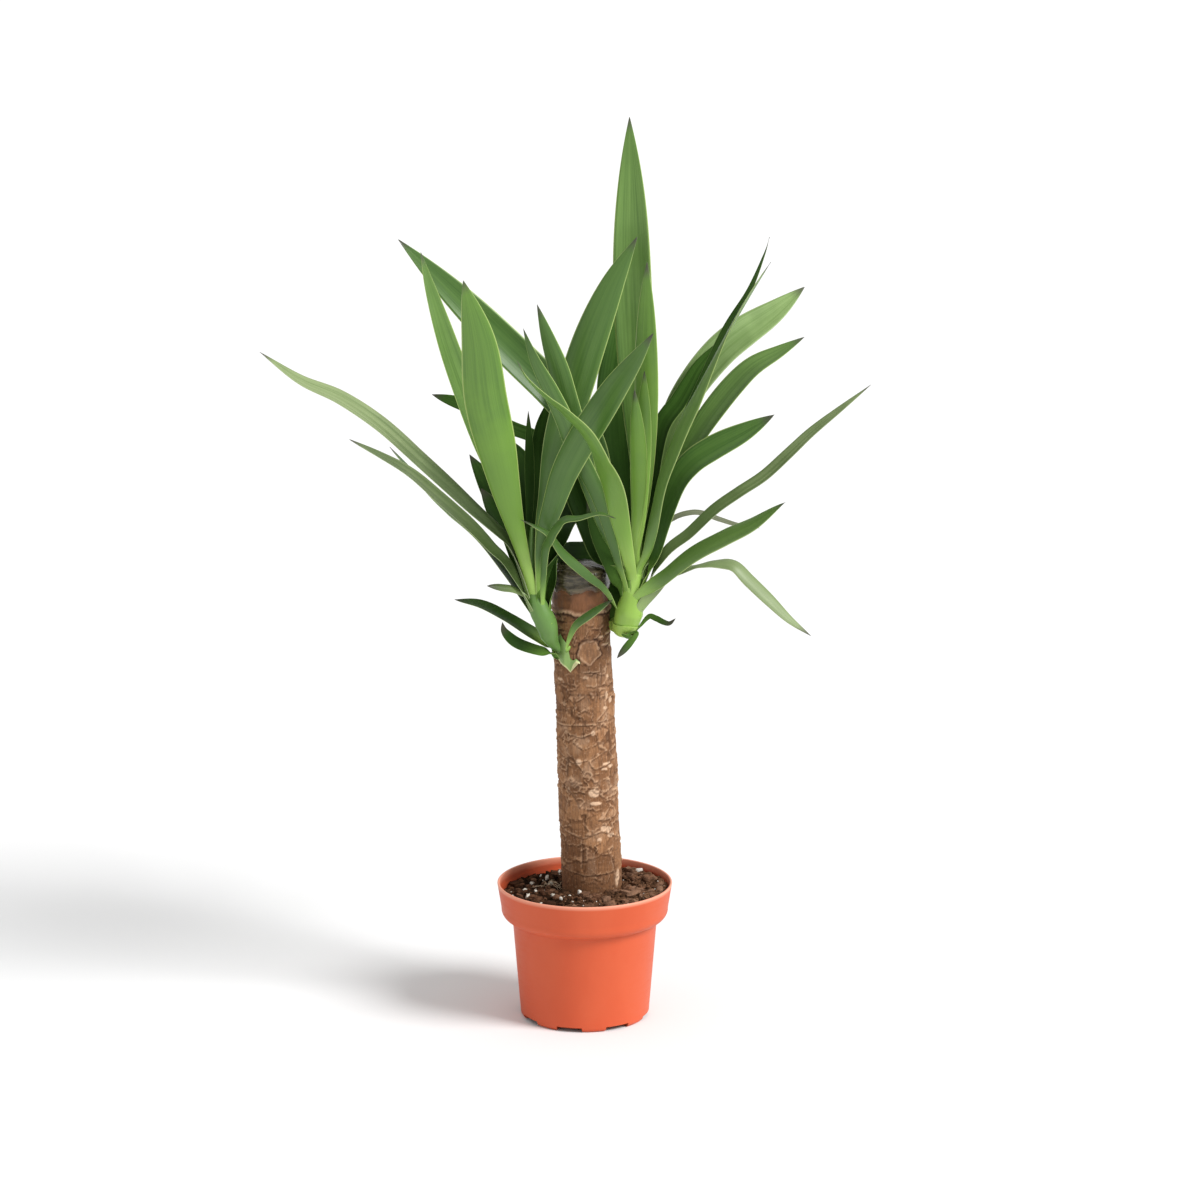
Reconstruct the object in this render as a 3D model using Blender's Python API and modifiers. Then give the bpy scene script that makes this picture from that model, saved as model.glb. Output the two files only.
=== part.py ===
"""A potted yucca: one cut cane with two leafy shoots, in an orange nursery pot.

Metres, +Z up. X runs to the right and Y away from someone who faces the front.
The origin is the centre of the pot's base, on the surface that it stands on.
"""

import math
from typing import NamedTuple

import bmesh
import bpy
import numpy as np

MM = 0.001
SMOOTH_BELOW = math.radians(40.0)
MERGE_DISTANCE = 0.01 * MM
CLEARANCE = 0.3 * MM
COLLECTION_NAME = "potted_yucca"
CUTTER_COLLECTION_NAME = "cutters"

# Pot
POT_HEIGHT = 112.0 * MM
RIM_RADIUS = 71.0 * MM
RIM_FOOT_RADIUS = 67.8 * MM
RIM_HEIGHT = 22.0 * MM
SHOULDER_HEIGHT = 8.0 * MM
BODY_RADIUS = 58.8 * MM
BASE_RADIUS = 52.5 * MM
BASE_ROUNDING = 4.0 * MM
POT_WALL = 1.8 * MM
POT_FLOOR = 2.4 * MM
LIP_ROUNDING = 0.5 * MM
RIM_TAPER_ALLOWANCE = 1.4 * MM
POT_STEPS = 56
SLOT_COUNT = 8
SLOT_WIDTH = 21.0 * MM
SLOT_HEIGHT = 4.0 * MM
SLOT_REACH = 12.0 * MM
SLOT_OVERRUN = 2.0 * MM
ROUNDING_STEPS = 4
FIRST_SLOT_ANGLE = math.radians(-104.0)

# Cane
CANE_FOOT = 42.0 * MM
CANE_TOP = 368.0 * MM
CANE_DEPTH = 10.0 * MM
CANE_X_AT_SOIL = 6.0 * MM
CANE_X_AT_TOP = -4.0 * MM
CANE_RADIUS_AT_SOIL = 24.4 * MM
CANE_RADIUS_AT_TOP = 22.6 * MM
CANE_RING_SPACING = 20.0 * MM
CANE_RING_SWELL = 0.45 * MM
CANE_FURROW = 0.35 * MM
CANE_BARK_DEPTH = 0.2 * MM
CANE_ROWS = 34
CANE_SIDES = 24
CANE_RING_WAVE = 0.8
CANE_FURROW_COUNT = 5
CANE_FURROW_WANDER = 9.0
CANE_FURROW_PITCH = 46.0 * MM
CANE_FADE_AT_SOIL = 12.0
CANE_FADE_AT_TOP = 10.0

# Wax
WAX_SKIRT = 12.0 * MM
WAX_THICKNESS = 1.3 * MM
WAX_DOME = 6.0 * MM
WAX_CENTRE = 0.1
WAX_SIDES = 24
WAX_DOME_ANGLES = (0, 20, 40, 60, 78)

# Soil
SOIL_LEVEL = 105.0 * MM
SOIL_RELIEF = 1.6 * MM
SOIL_SLOPE = 5.0 * MM
SOIL_SIDES = 56
SOIL_RINGS = 7
LUMP_SIZE = 5.1 * MM
CRUMB_SIZE = 2.9 * MM
SOIL_HOLE_RADIUS = CANE_RADIUS_AT_SOIL + CLEARANCE

# Leaves
BLADE_THICKNESS = 1.0 * MM
BLADE_STATIONS = 14
STATION_CROWDING = 1.15
ROOT_STANDOFF = 0.55 * BLADE_THICKNESS + CLEARANCE
BLADE_NECK = 0.30
NECK_TO_STEM = 1.5
TIP_TAPER = 0.96
TIP_POWER = 2.3
BLADE_FULLEST = 0.56
BLADE_CHANNEL = 0.12
ROOT_CLASP = 0.22
STEM_STATIONS = 14
DEPTH_POWER = 1.2
ROUTE_STEPS = 16
STEM_ROUNDING = 4

# The shoots were measured from one viewpoint in front of the pot. A route point is given as it is seen
# there: millimetres across from the pot's axis and up from its foot on a board square to the sight line,
# and its depth behind the pot's axis.
EYE_DISTANCE = 3500.0
EYE_PITCH = math.radians(13.6)
AIM_HEIGHT = 347.0
BOARD_CENTRE_ACROSS = 12.4
BOARD_CENTRE_UP = 329.6


class Shoot(NamedTuple):
    """A green stem: its route as seen, the depth of each point and its radius there, all in millimetres."""

    route: tuple
    depths: tuple
    radii: tuple


class Leaf(NamedTuple):
    """A blade: where it leaves its stem and the route, depth and turn of its midline.

    rise is the distance up the stem to the root in millimetres, and bearing the side of the stem that the
    root is on, in degrees from the right towards the back. depth is that of the tip. turn is how far the
    blade is turned from facing the viewpoint, in degrees, at evenly spaced places from root to tip.
    """

    rise: float
    bearing: float
    width: float
    depth: float
    turn: tuple
    route: tuple


SHOOTS = {
    "left": Shoot(
        route=((-13, 282), (-25, 303), (-33, 321), (-39, 338), (-42, 358), (-42, 388)),
        depths=(-2, -15, -17, -16, -15, -14),
        radii=(10.0, 9.0, 8.5, 7.5, 6.0, 1.5),
    ),
    "right": Shoot(
        route=((12, 296), (32, 307), (37, 326), (39, 346), (40, 366), (41, 386), (42, 406)),
        depths=(4, -8, -9, -8, -7, -6, -5),
        radii=(8.0, 11.0, 10.0, 9.0, 7.0, 4.5, 1.5),
    ),
}

LEAVES = {
    "left": (
        Leaf(rise=74, bearing=257, width=35, depth=-110, turn=(0, 0, 0), route=(
            (-61, 410), (-70, 450), (-79, 490), (-85, 538), (-97, 585),
        )),
        Leaf(rise=86, bearing=176, width=26, depth=-18, turn=(-40, -45, -50), route=(
            (-68, 418), (-84, 458), (-97, 494), (-111, 534), (-124, 578), (-131, 608),
        )),
        Leaf(rise=67, bearing=189, width=27, depth=-30, turn=(-50, -62, -60), route=(
            (-58, 369), (-69, 383), (-100, 411), (-132, 439), (-164, 468), (-196, 490), (-228, 505),
            (-260, 528),
        )),
        Leaf(rise=50, bearing=203, width=22, depth=-78, turn=(-50, -65, -65), route=(
            (-60, 355), (-76, 372), (-92, 388), (-116, 409), (-140, 430), (-164, 445), (-188, 458),
        )),
        Leaf(rise=44, bearing=140, width=20, depth=95, turn=(-60, -75, -75), route=(
            (-80, 372), (-108, 398), (-124, 414), (-144, 438), (-156, 452),
        )),
        Leaf(rise=81, bearing=142, width=22, depth=9, turn=(-10, -15, -15), route=(
            (-57, 376), (-67, 393), (-76, 408), (-83, 419),
        )),
        Leaf(rise=57, bearing=156, width=20, depth=62, turn=(0, -20, -20), route=(
            (-60, 386), (-72, 410), (-82, 430), (-92, 446),
        )),
        Leaf(rise=92, bearing=95, width=22, depth=55, turn=(0, 10, 10), route=(
            (-46, 410), (-48, 442), (-56, 470),
        )),
        Leaf(rise=77, bearing=42, width=22, depth=18, turn=(0, 0, 0), route=(
            (-34, 376), (-35, 404), (-34, 434), (-32, 466), (-26, 494),
        )),
        Leaf(rise=90, bearing=-12, width=30, depth=-10, turn=(0, 10, 10), route=(
            (-36, 378), (-29, 418), (-21, 458), (-10, 494), (4, 538), (22, 582), (42, 620),
        )),
        Leaf(rise=70, bearing=-33, width=25, depth=-95, turn=(0, 10, 10), route=(
            (-33, 378), (-25, 406), (-17, 430), (-5, 454), (10, 478), (26, 502), (42, 524), (55, 543),
        )),
        Leaf(rise=56, bearing=-55, width=10, depth=-118, turn=(20, 35, 60, 65), route=(
            (-32, 366), (-28, 378), (-23, 387), (-16, 394), (-4, 396), (12, 399), (25, 395),
        )),
        Leaf(rise=44, bearing=236, width=8, depth=-45, turn=(-20, -30, -30), route=(
            (-64, 340), (-78, 341),
        )),
        Leaf(rise=10, bearing=150, width=14, depth=15, turn=(-30, -50, -50), route=(
            (-28, 294), (-44, 304), (-64, 316), (-84, 326), (-104, 330),
        )),
        Leaf(rise=14, bearing=215, width=10, depth=-22, turn=(-20, -25, -25), route=(
            (-44, 291), (-56, 296), (-64, 304), (-66, 312),
        )),
        Leaf(rise=18, bearing=-50, width=8, depth=-45, turn=(10, 30, 45), route=(
            (-8, 308), (4, 318), (23, 330),
        )),
        Leaf(rise=98, bearing=150, width=8, depth=4, turn=(0, 0, 0), route=(
            (-44, 400), (-44, 440), (-45, 481),
        )),
        Leaf(rise=52, bearing=104, width=28, depth=180, turn=(0, 0, 0), route=(
            (-54, 390), (-70, 450), (-76, 514),
        )),
        Leaf(rise=60, bearing=50, width=28, depth=172, turn=(0, 0, 0), route=(
            (-28, 382), (-21, 404), (-11, 440), (0, 496),
        )),
        Leaf(rise=71, bearing=85, width=21, depth=170, turn=(-30, -30, -30), route=(
            (-64, 394), (-86, 458), (-103, 520),
        )),
    ),
    "right": (
        Leaf(rise=70, bearing=255, width=26, depth=-150, turn=(0, 15, 70, 78, 80), route=(
            (35, 362), (28, 394), (22, 418), (12, 440), (0, 461), (-16, 478), (-32, 492), (-46, 507),
            (-54, 521),
        )),
        Leaf(rise=100, bearing=75, width=32, depth=26, turn=(0, 0, 0), route=(
            (44, 400), (43, 442), (41, 490), (40, 538), (38, 594), (37, 658), (36, 716),
        )),
        Leaf(rise=98, bearing=-45, width=20, depth=-16, turn=(0, 15, 15), route=(
            (47, 400), (49, 442), (49, 490), (49, 538), (50, 600),
        )),
        Leaf(rise=90, bearing=-75, width=14, depth=-32, turn=(0, 0, 0), route=(
            (45, 390), (46, 426), (47, 466), (48, 513),
        )),
        Leaf(rise=82, bearing=-100, width=14, depth=-58, turn=(0, 0, 0), route=(
            (41, 385), (43, 415), (43, 450), (40, 498),
        )),
        Leaf(rise=90, bearing=105, width=30, depth=80, turn=(0, 0, 0), route=(
            (35, 386), (30, 418), (25, 458), (24, 498), (28, 538), (33, 576),
        )),
        Leaf(rise=76, bearing=-58, width=20, depth=-95, turn=(20, 50, 60, 88, 110), route=(
            (51, 370), (60, 418), (69, 446), (78, 470), (88, 491), (99, 514), (116, 547), (132, 574),
            (149, 600),
        )),
        Leaf(rise=80, bearing=-30, width=12, depth=-36, turn=(50, 60, 60), route=(
            (54, 395), (64, 432), (78, 468), (96, 508), (114, 546), (132, 576), (144, 606), (148, 620),
        )),
        Leaf(rise=79, bearing=52, width=27, depth=80, turn=(30, 45, 45), route=(
            (56, 410), (64, 450), (76, 482), (92, 507), (110, 528), (128, 543), (152, 560), (176, 580),
        )),
        Leaf(rise=84, bearing=18, width=17, depth=44, turn=(20, 30, 30), route=(
            (52, 410), (61, 464), (76, 488), (84, 502), (94, 519), (115, 542),
        )),
        Leaf(rise=75, bearing=14, width=25, depth=25, turn=(40, 50, 50), route=(
            (54, 366), (67, 410), (78, 440), (90, 460), (104, 480), (120, 500), (136, 516), (156, 528),
            (176, 540),
        )),
        Leaf(rise=61, bearing=-20, width=25, depth=-14, turn=(30, 45, 45), route=(
            (55, 360), (63, 392), (73, 421), (86, 438), (104, 450), (128, 463), (152, 478),
        )),
        Leaf(rise=54, bearing=2, width=18, depth=-30, turn=(50, 62, 62), route=(
            (64, 366), (84, 383), (104, 402), (124, 416), (144, 429), (164, 447), (182, 464), (204, 482),
            (229, 502),
        )),
        Leaf(rise=54, bearing=-40, width=18, depth=-95, turn=(40, 50, 50), route=(
            (68, 352), (88, 368), (112, 381), (136, 392), (161, 408),
        )),
        Leaf(rise=42, bearing=-14, width=14, depth=-45, turn=(50, 85, 60, 35, 35), route=(
            (64, 349), (76, 354), (92, 358), (104, 360), (120, 358), (132, 346), (148, 330), (164, 314),
            (181, 301),
        )),
        Leaf(rise=50, bearing=30, width=6, depth=120, turn=(30, 40, 40), route=(
            (60, 387), (70, 394), (80, 398), (92, 399), (108, 394), (122, 390), (140, 387),
        )),
        Leaf(rise=44, bearing=78, width=22, depth=170, turn=(30, 30, 30), route=(
            (56, 378), (62, 410), (74, 440), (92, 458),
        )),
        Leaf(rise=31, bearing=-25, width=5, depth=-22, turn=(0, 0, 0), route=(
            (51, 316), (57, 315), (63, 312), (68, 311), (73, 315),
        )),
        Leaf(rise=30, bearing=-60, width=6, depth=-34, turn=(0, 0, 0), route=(
            (42, 303), (36, 295), (26, 283),
        )),
        Leaf(rise=41, bearing=196, width=9, depth=-43, turn=(0, -10, -45, -60), route=(
            (16, 338), (4, 348), (-16, 366), (-28, 382), (-40, 389), (-51, 394),
        )),
        Leaf(rise=66, bearing=140, width=30, depth=50, turn=(0, 0, 0), route=(
            (22, 362), (9, 394), (-1, 418), (-8, 438), (-15, 458),
        )),
        Leaf(rise=54, bearing=185, width=12, depth=-8, turn=(0, 0, 0), route=(
            (22, 354), (12, 378), (2, 410),
        )),
        Leaf(rise=72, bearing=172, width=30, depth=24, turn=(0, -10, -10), route=(
            (27, 378), (18, 410), (4, 458), (-24, 494), (-60, 530), (-100, 570), (-149, 618),
        )),
        Leaf(rise=88, bearing=212, width=20, depth=-50, turn=(0, 10, 10), route=(
            (22, 370), (8, 410), (-4, 450), (-15, 490), (-21, 514), (-29, 538), (-38, 566),
        )),
        Leaf(rise=62, bearing=225, width=16, depth=-66, turn=(10, 20, 20), route=(
            (27, 358), (12, 410), (-8, 450), (-17, 474), (-28, 498), (-40, 522), (-49, 547),
        )),
        Leaf(rise=54, bearing=150, width=24, depth=120, turn=(0, -15, -15), route=(
            (20, 362), (4, 410), (-20, 446), (-40, 460), (-60, 468), (-92, 484), (-122, 494),
        )),
        Leaf(rise=72, bearing=88, width=30, depth=120, turn=(0, 0, 0), route=(
            (43, 410), (41, 474), (40, 546),
        )),
        Leaf(rise=64, bearing=52, width=28, depth=150, turn=(20, 20, 20), route=(
            (60, 426), (84, 490), (108, 522),
        )),
        Leaf(rise=58, bearing=108, width=28, depth=175, turn=(0, 0, 0), route=(
            (24, 426), (22, 474), (28, 514),
        )),
    ),
}


def eye_frame():
    """The viewpoint, and the directions right, up and away on the board, in millimetres."""
    away = np.array([0.0, math.cos(EYE_PITCH), -math.sin(EYE_PITCH)])
    up = np.array([0.0, math.sin(EYE_PITCH), math.cos(EYE_PITCH)])
    aim = np.array([BOARD_CENTRE_ACROSS, 0.0, AIM_HEIGHT])
    return aim - EYE_DISTANCE * away, np.array([1.0, 0.0, 0.0]), up, aim


def seen_point(across, up, depth):
    """The point in metres that is seen at (across, up) on the board and lies at this depth."""
    eye, right, board_up, aim = eye_frame()
    board = aim + (across - BOARD_CENTRE_ACROSS) * right + (up - BOARD_CENTRE_UP) * board_up
    reach = (depth - eye[1]) / (board[1] - eye[1])
    return (eye + (board - eye) * reach) * MM


def unit(vectors):
    """Vectors scaled to length one along the last axis."""
    return vectors / np.linalg.norm(vectors, axis=-1, keepdims=True)


def arc_lengths(points):
    """Distance along the points, from 0 at the first."""
    steps = np.linalg.norm(np.diff(points, axis=0), axis=1)
    return np.concatenate(([0.0], np.cumsum(steps)))


def smooth_route(points, fractions):
    """Points of a Catmull-Rom curve through the given ones, at fractions of its length, with its tangents."""
    points = np.asarray(points, dtype=float)
    padded = np.vstack((2 * points[0] - points[1], points, 2 * points[-1] - points[-2]))
    dense = []
    for i in range(len(points) - 1):
        a, b, c, d = padded[i:i + 4]
        t = np.linspace(0.0, 1.0, ROUTE_STEPS, endpoint=False)[:, None]
        square = (2 * a - 5 * b + 4 * c - d) * t**2
        cube = (3 * b - a - 3 * c + d) * t**3
        dense.append((2 * b + (c - a) * t + square + cube) / 2)
    dense = np.vstack(dense + [points[-1:]])
    length = arc_lengths(dense)
    wanted = np.asarray(fractions) * length[-1]
    place = np.column_stack([np.interp(wanted, length, dense[:, k]) for k in range(3)])
    step = 0.01 * length[-1]
    ahead = np.column_stack([np.interp(wanted + step, length, dense[:, k]) for k in range(3)])
    behind = np.column_stack([np.interp(wanted - step, length, dense[:, k]) for k in range(3)])
    return place, unit(ahead - behind)


def stem_points(shoot):
    """The points of a stem's midline in metres."""
    return np.array([seen_point(a, u, d) for (a, u), d in zip(shoot.route, shoot.depths)])


def stem_at(shoot, rise):
    """The stem's midline point, direction and radius at a distance in metres up it."""
    points = stem_points(shoot)
    length = arc_lengths(points)
    place, along = smooth_route(points, [rise / length[-1]])
    radius = np.interp(rise, length, np.array(shoot.radii) * MM)
    return place[0], along[0], radius


def leaf_midline(leaf, shoot):
    """A leaf's control points from its root on the stem, the outward direction there and its neck width."""
    place, along, radius = stem_at(shoot, leaf.rise * MM)
    seen = np.array(leaf.route, dtype=float)
    share = arc_lengths(np.vstack((2 * seen[0] - seen[1], seen)))[1:]
    share = (share / share[-1]) ** DEPTH_POWER
    bearing = math.radians(leaf.bearing)
    outward = np.array([math.cos(bearing), math.sin(bearing), 0.0])
    outward = unit(outward - along * outward.dot(along))
    root = place + outward * (radius + ROOT_STANDOFF)
    start = root[1] / MM
    depths = start + (leaf.depth - start) * share
    points = np.array([seen_point(a, u, d) for (a, u), d in zip(seen, depths)])
    neck = min(BLADE_NECK * leaf.width * MM, NECK_TO_STEM * radius)
    return np.vstack((root, points)), outward, neck


def blade_widths(width, neck, fractions):
    """Width along a blade: from its neck it swells to its fullest and then runs to a point."""
    rising = np.clip(fractions / BLADE_FULLEST, 0.0, 1.0)
    rising = rising * rising * (3 - 2 * rising)
    falling = np.clip((fractions - BLADE_FULLEST) / (1 - BLADE_FULLEST), 0.0, 1.0)
    return neck + (width - neck) * rising - width * TIP_TAPER * falling**TIP_POWER


def blade_directions(leaf, points, tangents, fractions, outward):
    """Directions across the blade and out of its upper face at each station."""
    eye = eye_frame()[0] * MM
    square = unit(np.cross(tangents, eye - points))
    toward = np.cross(square, tangents)
    places = np.linspace(0.0, 1.0, len(leaf.turn))
    turn = np.radians(np.interp(fractions, places, leaf.turn))[:, None]
    across = np.cos(turn) * square + np.sin(turn) * toward
    at_root = unit(np.cross(tangents[0], outward))
    at_root = at_root * (1.0 if at_root.dot(across[0]) >= 0 else -1.0)
    ease = np.clip(fractions / ROOT_CLASP, 0.0, 1.0)[:, None]
    across = at_root * (1 - ease) + across * ease
    across = unit(across - tangents * np.sum(across * tangents, axis=1, keepdims=True))
    upper = np.cross(across, tangents)
    if upper[0].dot(outward) > 0:
        upper = -upper
    return across, upper


def blade_grid(leaf, shoot):
    """The blade's sheet as rows of left margin, midline and right margin."""
    control, outward, neck = leaf_midline(leaf, shoot)
    fractions = 1 - (1 - np.linspace(0.0, 1.0, BLADE_STATIONS)) ** STATION_CROWDING
    points, tangents = smooth_route(control, fractions)
    across, upper = blade_directions(leaf, points, tangents, fractions, outward)
    half = blade_widths(leaf.width * MM, neck, fractions)[:, None] / 2
    lift = BLADE_CHANNEL * 2 * half * upper
    return np.stack((points - across * half + lift, points, points + across * half + lift), axis=1)


def make_collection(name):
    """A new collection in the scene."""
    collection = bpy.data.collections.new(name)
    bpy.context.scene.collection.children.link(collection)
    return collection


def make_material(name, colour, roughness):
    """A plain Principled material."""
    material = bpy.data.materials.new(name)
    material.use_nodes = True
    surface = material.node_tree.nodes["Principled BSDF"]
    surface.inputs["Base Color"].default_value = (*colour, 1.0)
    surface.inputs["Roughness"].default_value = roughness
    return material


def add_mesh_object(name, vertices, faces, collection, material):
    """An object with this mesh, shaded smooth below 40 degrees."""
    mesh = bpy.data.meshes.new(name)
    mesh.from_pydata([tuple(v) for v in vertices], [], faces)
    mesh.validate()
    edit = bmesh.new()
    edit.from_mesh(mesh)
    bmesh.ops.recalc_face_normals(edit, faces=edit.faces)
    edit.to_mesh(mesh)
    edit.free()
    mesh.shade_smooth()
    mesh.set_sharp_from_angle(angle=SMOOTH_BELOW)
    made = bpy.data.objects.new(name, mesh)
    made.data.materials.append(material)
    collection.objects.link(made)
    return made


def strip_faces(rows, columns):
    """Triangles of a grid of rows and columns, all split along the same diagonal."""
    faces = []
    for row in range(rows - 1):
        for column in range(columns - 1):
            a = row * columns + column
            b = a + columns
            faces.append((a, a + 1, b + 1))
            faces.append((a, b + 1, b))
    return faces


def make_blade(name, leaf, shoot, collection, material):
    """A leaf blade: its sheet given its thickness."""
    grid = blade_grid(leaf, shoot)
    rows, columns = grid.shape[:2]
    mesh = bpy.data.meshes.new(name)
    mesh.from_pydata([tuple(v) for v in grid.reshape(-1, 3)], [], strip_faces(rows, columns))
    mesh.shade_smooth()
    blade = bpy.data.objects.new(name, mesh)
    blade.data.materials.append(material)
    collection.objects.link(blade)
    thicken = blade.modifiers.new("thickness", "SOLIDIFY")
    thicken.thickness = BLADE_THICKNESS
    thicken.offset = 0.0
    return blade


def cane_axis(height):
    """The cane's centre at a height: upright in the soil, then leaning to its top."""
    share = max(0.0, (height - SOIL_LEVEL) / (CANE_TOP - SOIL_LEVEL))
    return CANE_X_AT_SOIL + (CANE_X_AT_TOP - CANE_X_AT_SOIL) * share, CANE_DEPTH


def cane_radius(height, angle):
    """The bark's radius: leaf-scar rings and shallow furrows, fading out towards the soil and the top."""
    share = max(0.0, (height - SOIL_LEVEL) / (CANE_TOP - SOIL_LEVEL))
    radius = CANE_RADIUS_AT_SOIL + (CANE_RADIUS_AT_TOP - CANE_RADIUS_AT_SOIL) * share
    bark = min(1.0, share * CANE_FADE_AT_SOIL) * min(1.0, (1 - share) * CANE_FADE_AT_TOP)
    ring = math.sin(math.tau * height / CANE_RING_SPACING + CANE_RING_WAVE * math.sin(angle))
    wander = CANE_FURROW_WANDER * math.sin(height / CANE_FURROW_PITCH)
    furrow = math.sin(CANE_FURROW_COUNT * angle + wander)
    return radius - bark * (CANE_RING_SWELL * (1 - ring) / 2 + CANE_FURROW * (1 + furrow) / 2)


def tube_mesh(rings):
    """Vertices and faces of a closed tube through rings of equal length, with a cap on each end."""
    sides = len(rings[0])
    vertices = [point for ring in rings for point in ring]
    faces = []
    for row in range(len(rings) - 1):
        for side in range(sides):
            after = (side + 1) % sides
            low = row * sides
            faces.append((low + side, low + after, low + sides + after, low + sides + side))
    faces.append(tuple(range(sides))[::-1])
    faces.append(tuple(range((len(rings) - 1) * sides, len(rings) * sides)))
    return vertices, faces


def cane_rings(extra):
    """Rings of the cane's surface from foot to top, grown by an extra radius."""
    rings = []
    for row in range(CANE_ROWS + 1):
        height = CANE_FOOT + (CANE_TOP - CANE_FOOT) * row / CANE_ROWS
        x, y = cane_axis(height)
        ring = []
        for side in range(CANE_SIDES):
            angle = math.tau * side / CANE_SIDES
            radius = cane_radius(height, angle) + extra
            ring.append((x + radius * math.cos(angle), y + radius * math.sin(angle), height))
        rings.append(ring)
    return rings


def make_cane(collection, material):
    """The woody cane, from its foot in the soil to its sawn top."""
    return add_mesh_object("cane", *tube_mesh(cane_rings(0.0)), collection, material)


def make_cane_clearance(cutters, material):
    """The space that the shoots leave free round the cane."""
    cutter = add_mesh_object("cane_clearance", *tube_mesh(cane_rings(CLEARANCE)), cutters, material)
    cutter.hide_render = True
    cutter.display_type = "WIRE"
    return cutter


def turned(name, profile, steps, collection, material):
    """A profile of (radius, height) turned round the Z axis, run from the top down its outer side."""
    mesh = bpy.data.meshes.new(name)
    edges = [(i, i + 1) for i in range(len(profile) - 1)]
    mesh.from_pydata([(radius, 0.0, height) for radius, height in profile], edges, [])
    made = bpy.data.objects.new(name, mesh)
    made.data.materials.append(material)
    collection.objects.link(made)
    screw = made.modifiers.new("turn", "SCREW")
    screw.steps = steps
    screw.render_steps = steps
    screw.use_merge_vertices = True
    screw.merge_threshold = MERGE_DISTANCE
    screw.use_smooth_shade = True
    return made


def arc(centre, radius, start, end, count):
    """Points of a circular arc in the profile's plane, from one angle in degrees to another."""
    points = []
    for i in range(count + 1):
        angle = math.radians(start + (end - start) * i / count)
        points.append((centre[0] + radius * math.cos(angle), centre[1] + radius * math.sin(angle)))
    return points


def pot_inner_radius(height):
    """The pot's inner radius at a height below its shoulder."""
    body_top = POT_HEIGHT - RIM_HEIGHT - SHOULDER_HEIGHT
    share = (height - BASE_ROUNDING) / (body_top - BASE_ROUNDING)
    return BASE_RADIUS + (BODY_RADIUS - BASE_RADIUS) * share - POT_WALL


def pot_profile():
    """The pot's section: across the floor, up the inside, over the rim and down the outside to the base."""
    rim_foot = POT_HEIGHT - RIM_HEIGHT
    body_top = rim_foot - SHOULDER_HEIGHT
    inside_rim = RIM_RADIUS - POT_WALL
    inside = [(0.0, POT_FLOOR), (pot_inner_radius(POT_FLOOR) - 2 * MM, POT_FLOOR)]
    inside += [(pot_inner_radius(body_top), body_top), (RIM_FOOT_RADIUS - POT_WALL, rim_foot)]
    inside += [(inside_rim, POT_HEIGHT - LIP_ROUNDING), (inside_rim + LIP_ROUNDING, POT_HEIGHT)]
    outside = [(RIM_RADIUS - LIP_ROUNDING, POT_HEIGHT), (RIM_RADIUS, POT_HEIGHT - LIP_ROUNDING)]
    overhang = RIM_FOOT_RADIUS - BODY_RADIUS
    for i in range(ROUNDING_STEPS + 1):
        angle = math.radians(90 * i / ROUNDING_STEPS)
        height = rim_foot - SHOULDER_HEIGHT * math.sin(angle)
        outside.append((BODY_RADIUS + overhang * math.cos(angle), height))
    outside += arc((BASE_RADIUS - BASE_ROUNDING, BASE_ROUNDING), BASE_ROUNDING, -5, -90, ROUNDING_STEPS)
    return inside + outside + [(0.0, 0.0)]


def make_slot_cutter(index, cutters):
    """A box that cuts one drain slot through the foot of the wall."""
    angle = FIRST_SLOT_ANGLE + math.tau * index / SLOT_COUNT
    reach = BASE_RADIUS + SLOT_OVERRUN - SLOT_REACH / 2
    bpy.ops.mesh.primitive_cube_add(
        size=1.0,
        location=(reach * math.cos(angle), reach * math.sin(angle), SLOT_HEIGHT / 2 - SLOT_OVERRUN / 2),
        rotation=(0.0, 0.0, angle),
        scale=(SLOT_REACH, SLOT_WIDTH, SLOT_HEIGHT + SLOT_OVERRUN),
    )
    cutter = bpy.context.object
    cutter.name = f"slot_cutter_{index}"
    cutter.hide_render = True
    cutter.display_type = "WIRE"
    for holder in list(cutter.users_collection):
        holder.objects.unlink(cutter)
    cutters.objects.link(cutter)
    return cutter


def cut(body, cutter):
    """Takes a cutter's shape out of a body."""
    boolean = body.modifiers.new("cut", "BOOLEAN")
    boolean.operation = "DIFFERENCE"
    boolean.solver = "EXACT"
    boolean.object = cutter


def make_pot(collection, cutters, material):
    """The pot, turned from its section, with drain slots cut round its foot."""
    pot = turned("pot", pot_profile(), POT_STEPS, collection, material)
    for index in range(SLOT_COUNT):
        cut(pot, make_slot_cutter(index, cutters))
    return pot


def wax_ring(height, scale, extra):
    """A ring round the cane's axis: the cane's radius there, grown by an extra and then scaled."""
    x, y = cane_axis(height)
    ring = []
    for side in range(WAX_SIDES):
        angle = math.tau * side / WAX_SIDES
        radius = scale * (cane_radius(min(height, CANE_TOP), angle) + extra)
        ring.append((x + radius * math.cos(angle), y + radius * math.sin(angle), height))
    return ring


def make_wax(collection, material):
    """The sealing wax: a skirt down the cane's side and a low dome over its sawn top."""
    inner = CANE_BARK_DEPTH + CLEARANCE
    outer = inner + WAX_THICKNESS
    foot = CANE_TOP - WAX_SKIRT
    ceiling = CANE_TOP + CLEARANCE
    rings = [wax_ring(ceiling, WAX_CENTRE, inner), wax_ring(ceiling, 1.0, inner)]
    rings += [wax_ring(foot, 1.0, inner), wax_ring(foot, 1.0, outer)]
    rings.append(wax_ring(foot + WAX_THICKNESS, 1.0, outer))
    for angle in np.radians(WAX_DOME_ANGLES):
        rings.append(wax_ring(CANE_TOP + WAX_DOME * math.sin(angle), math.cos(angle), outer))
    return add_mesh_object("wax_cap", *tube_mesh(rings), collection, material)


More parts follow.
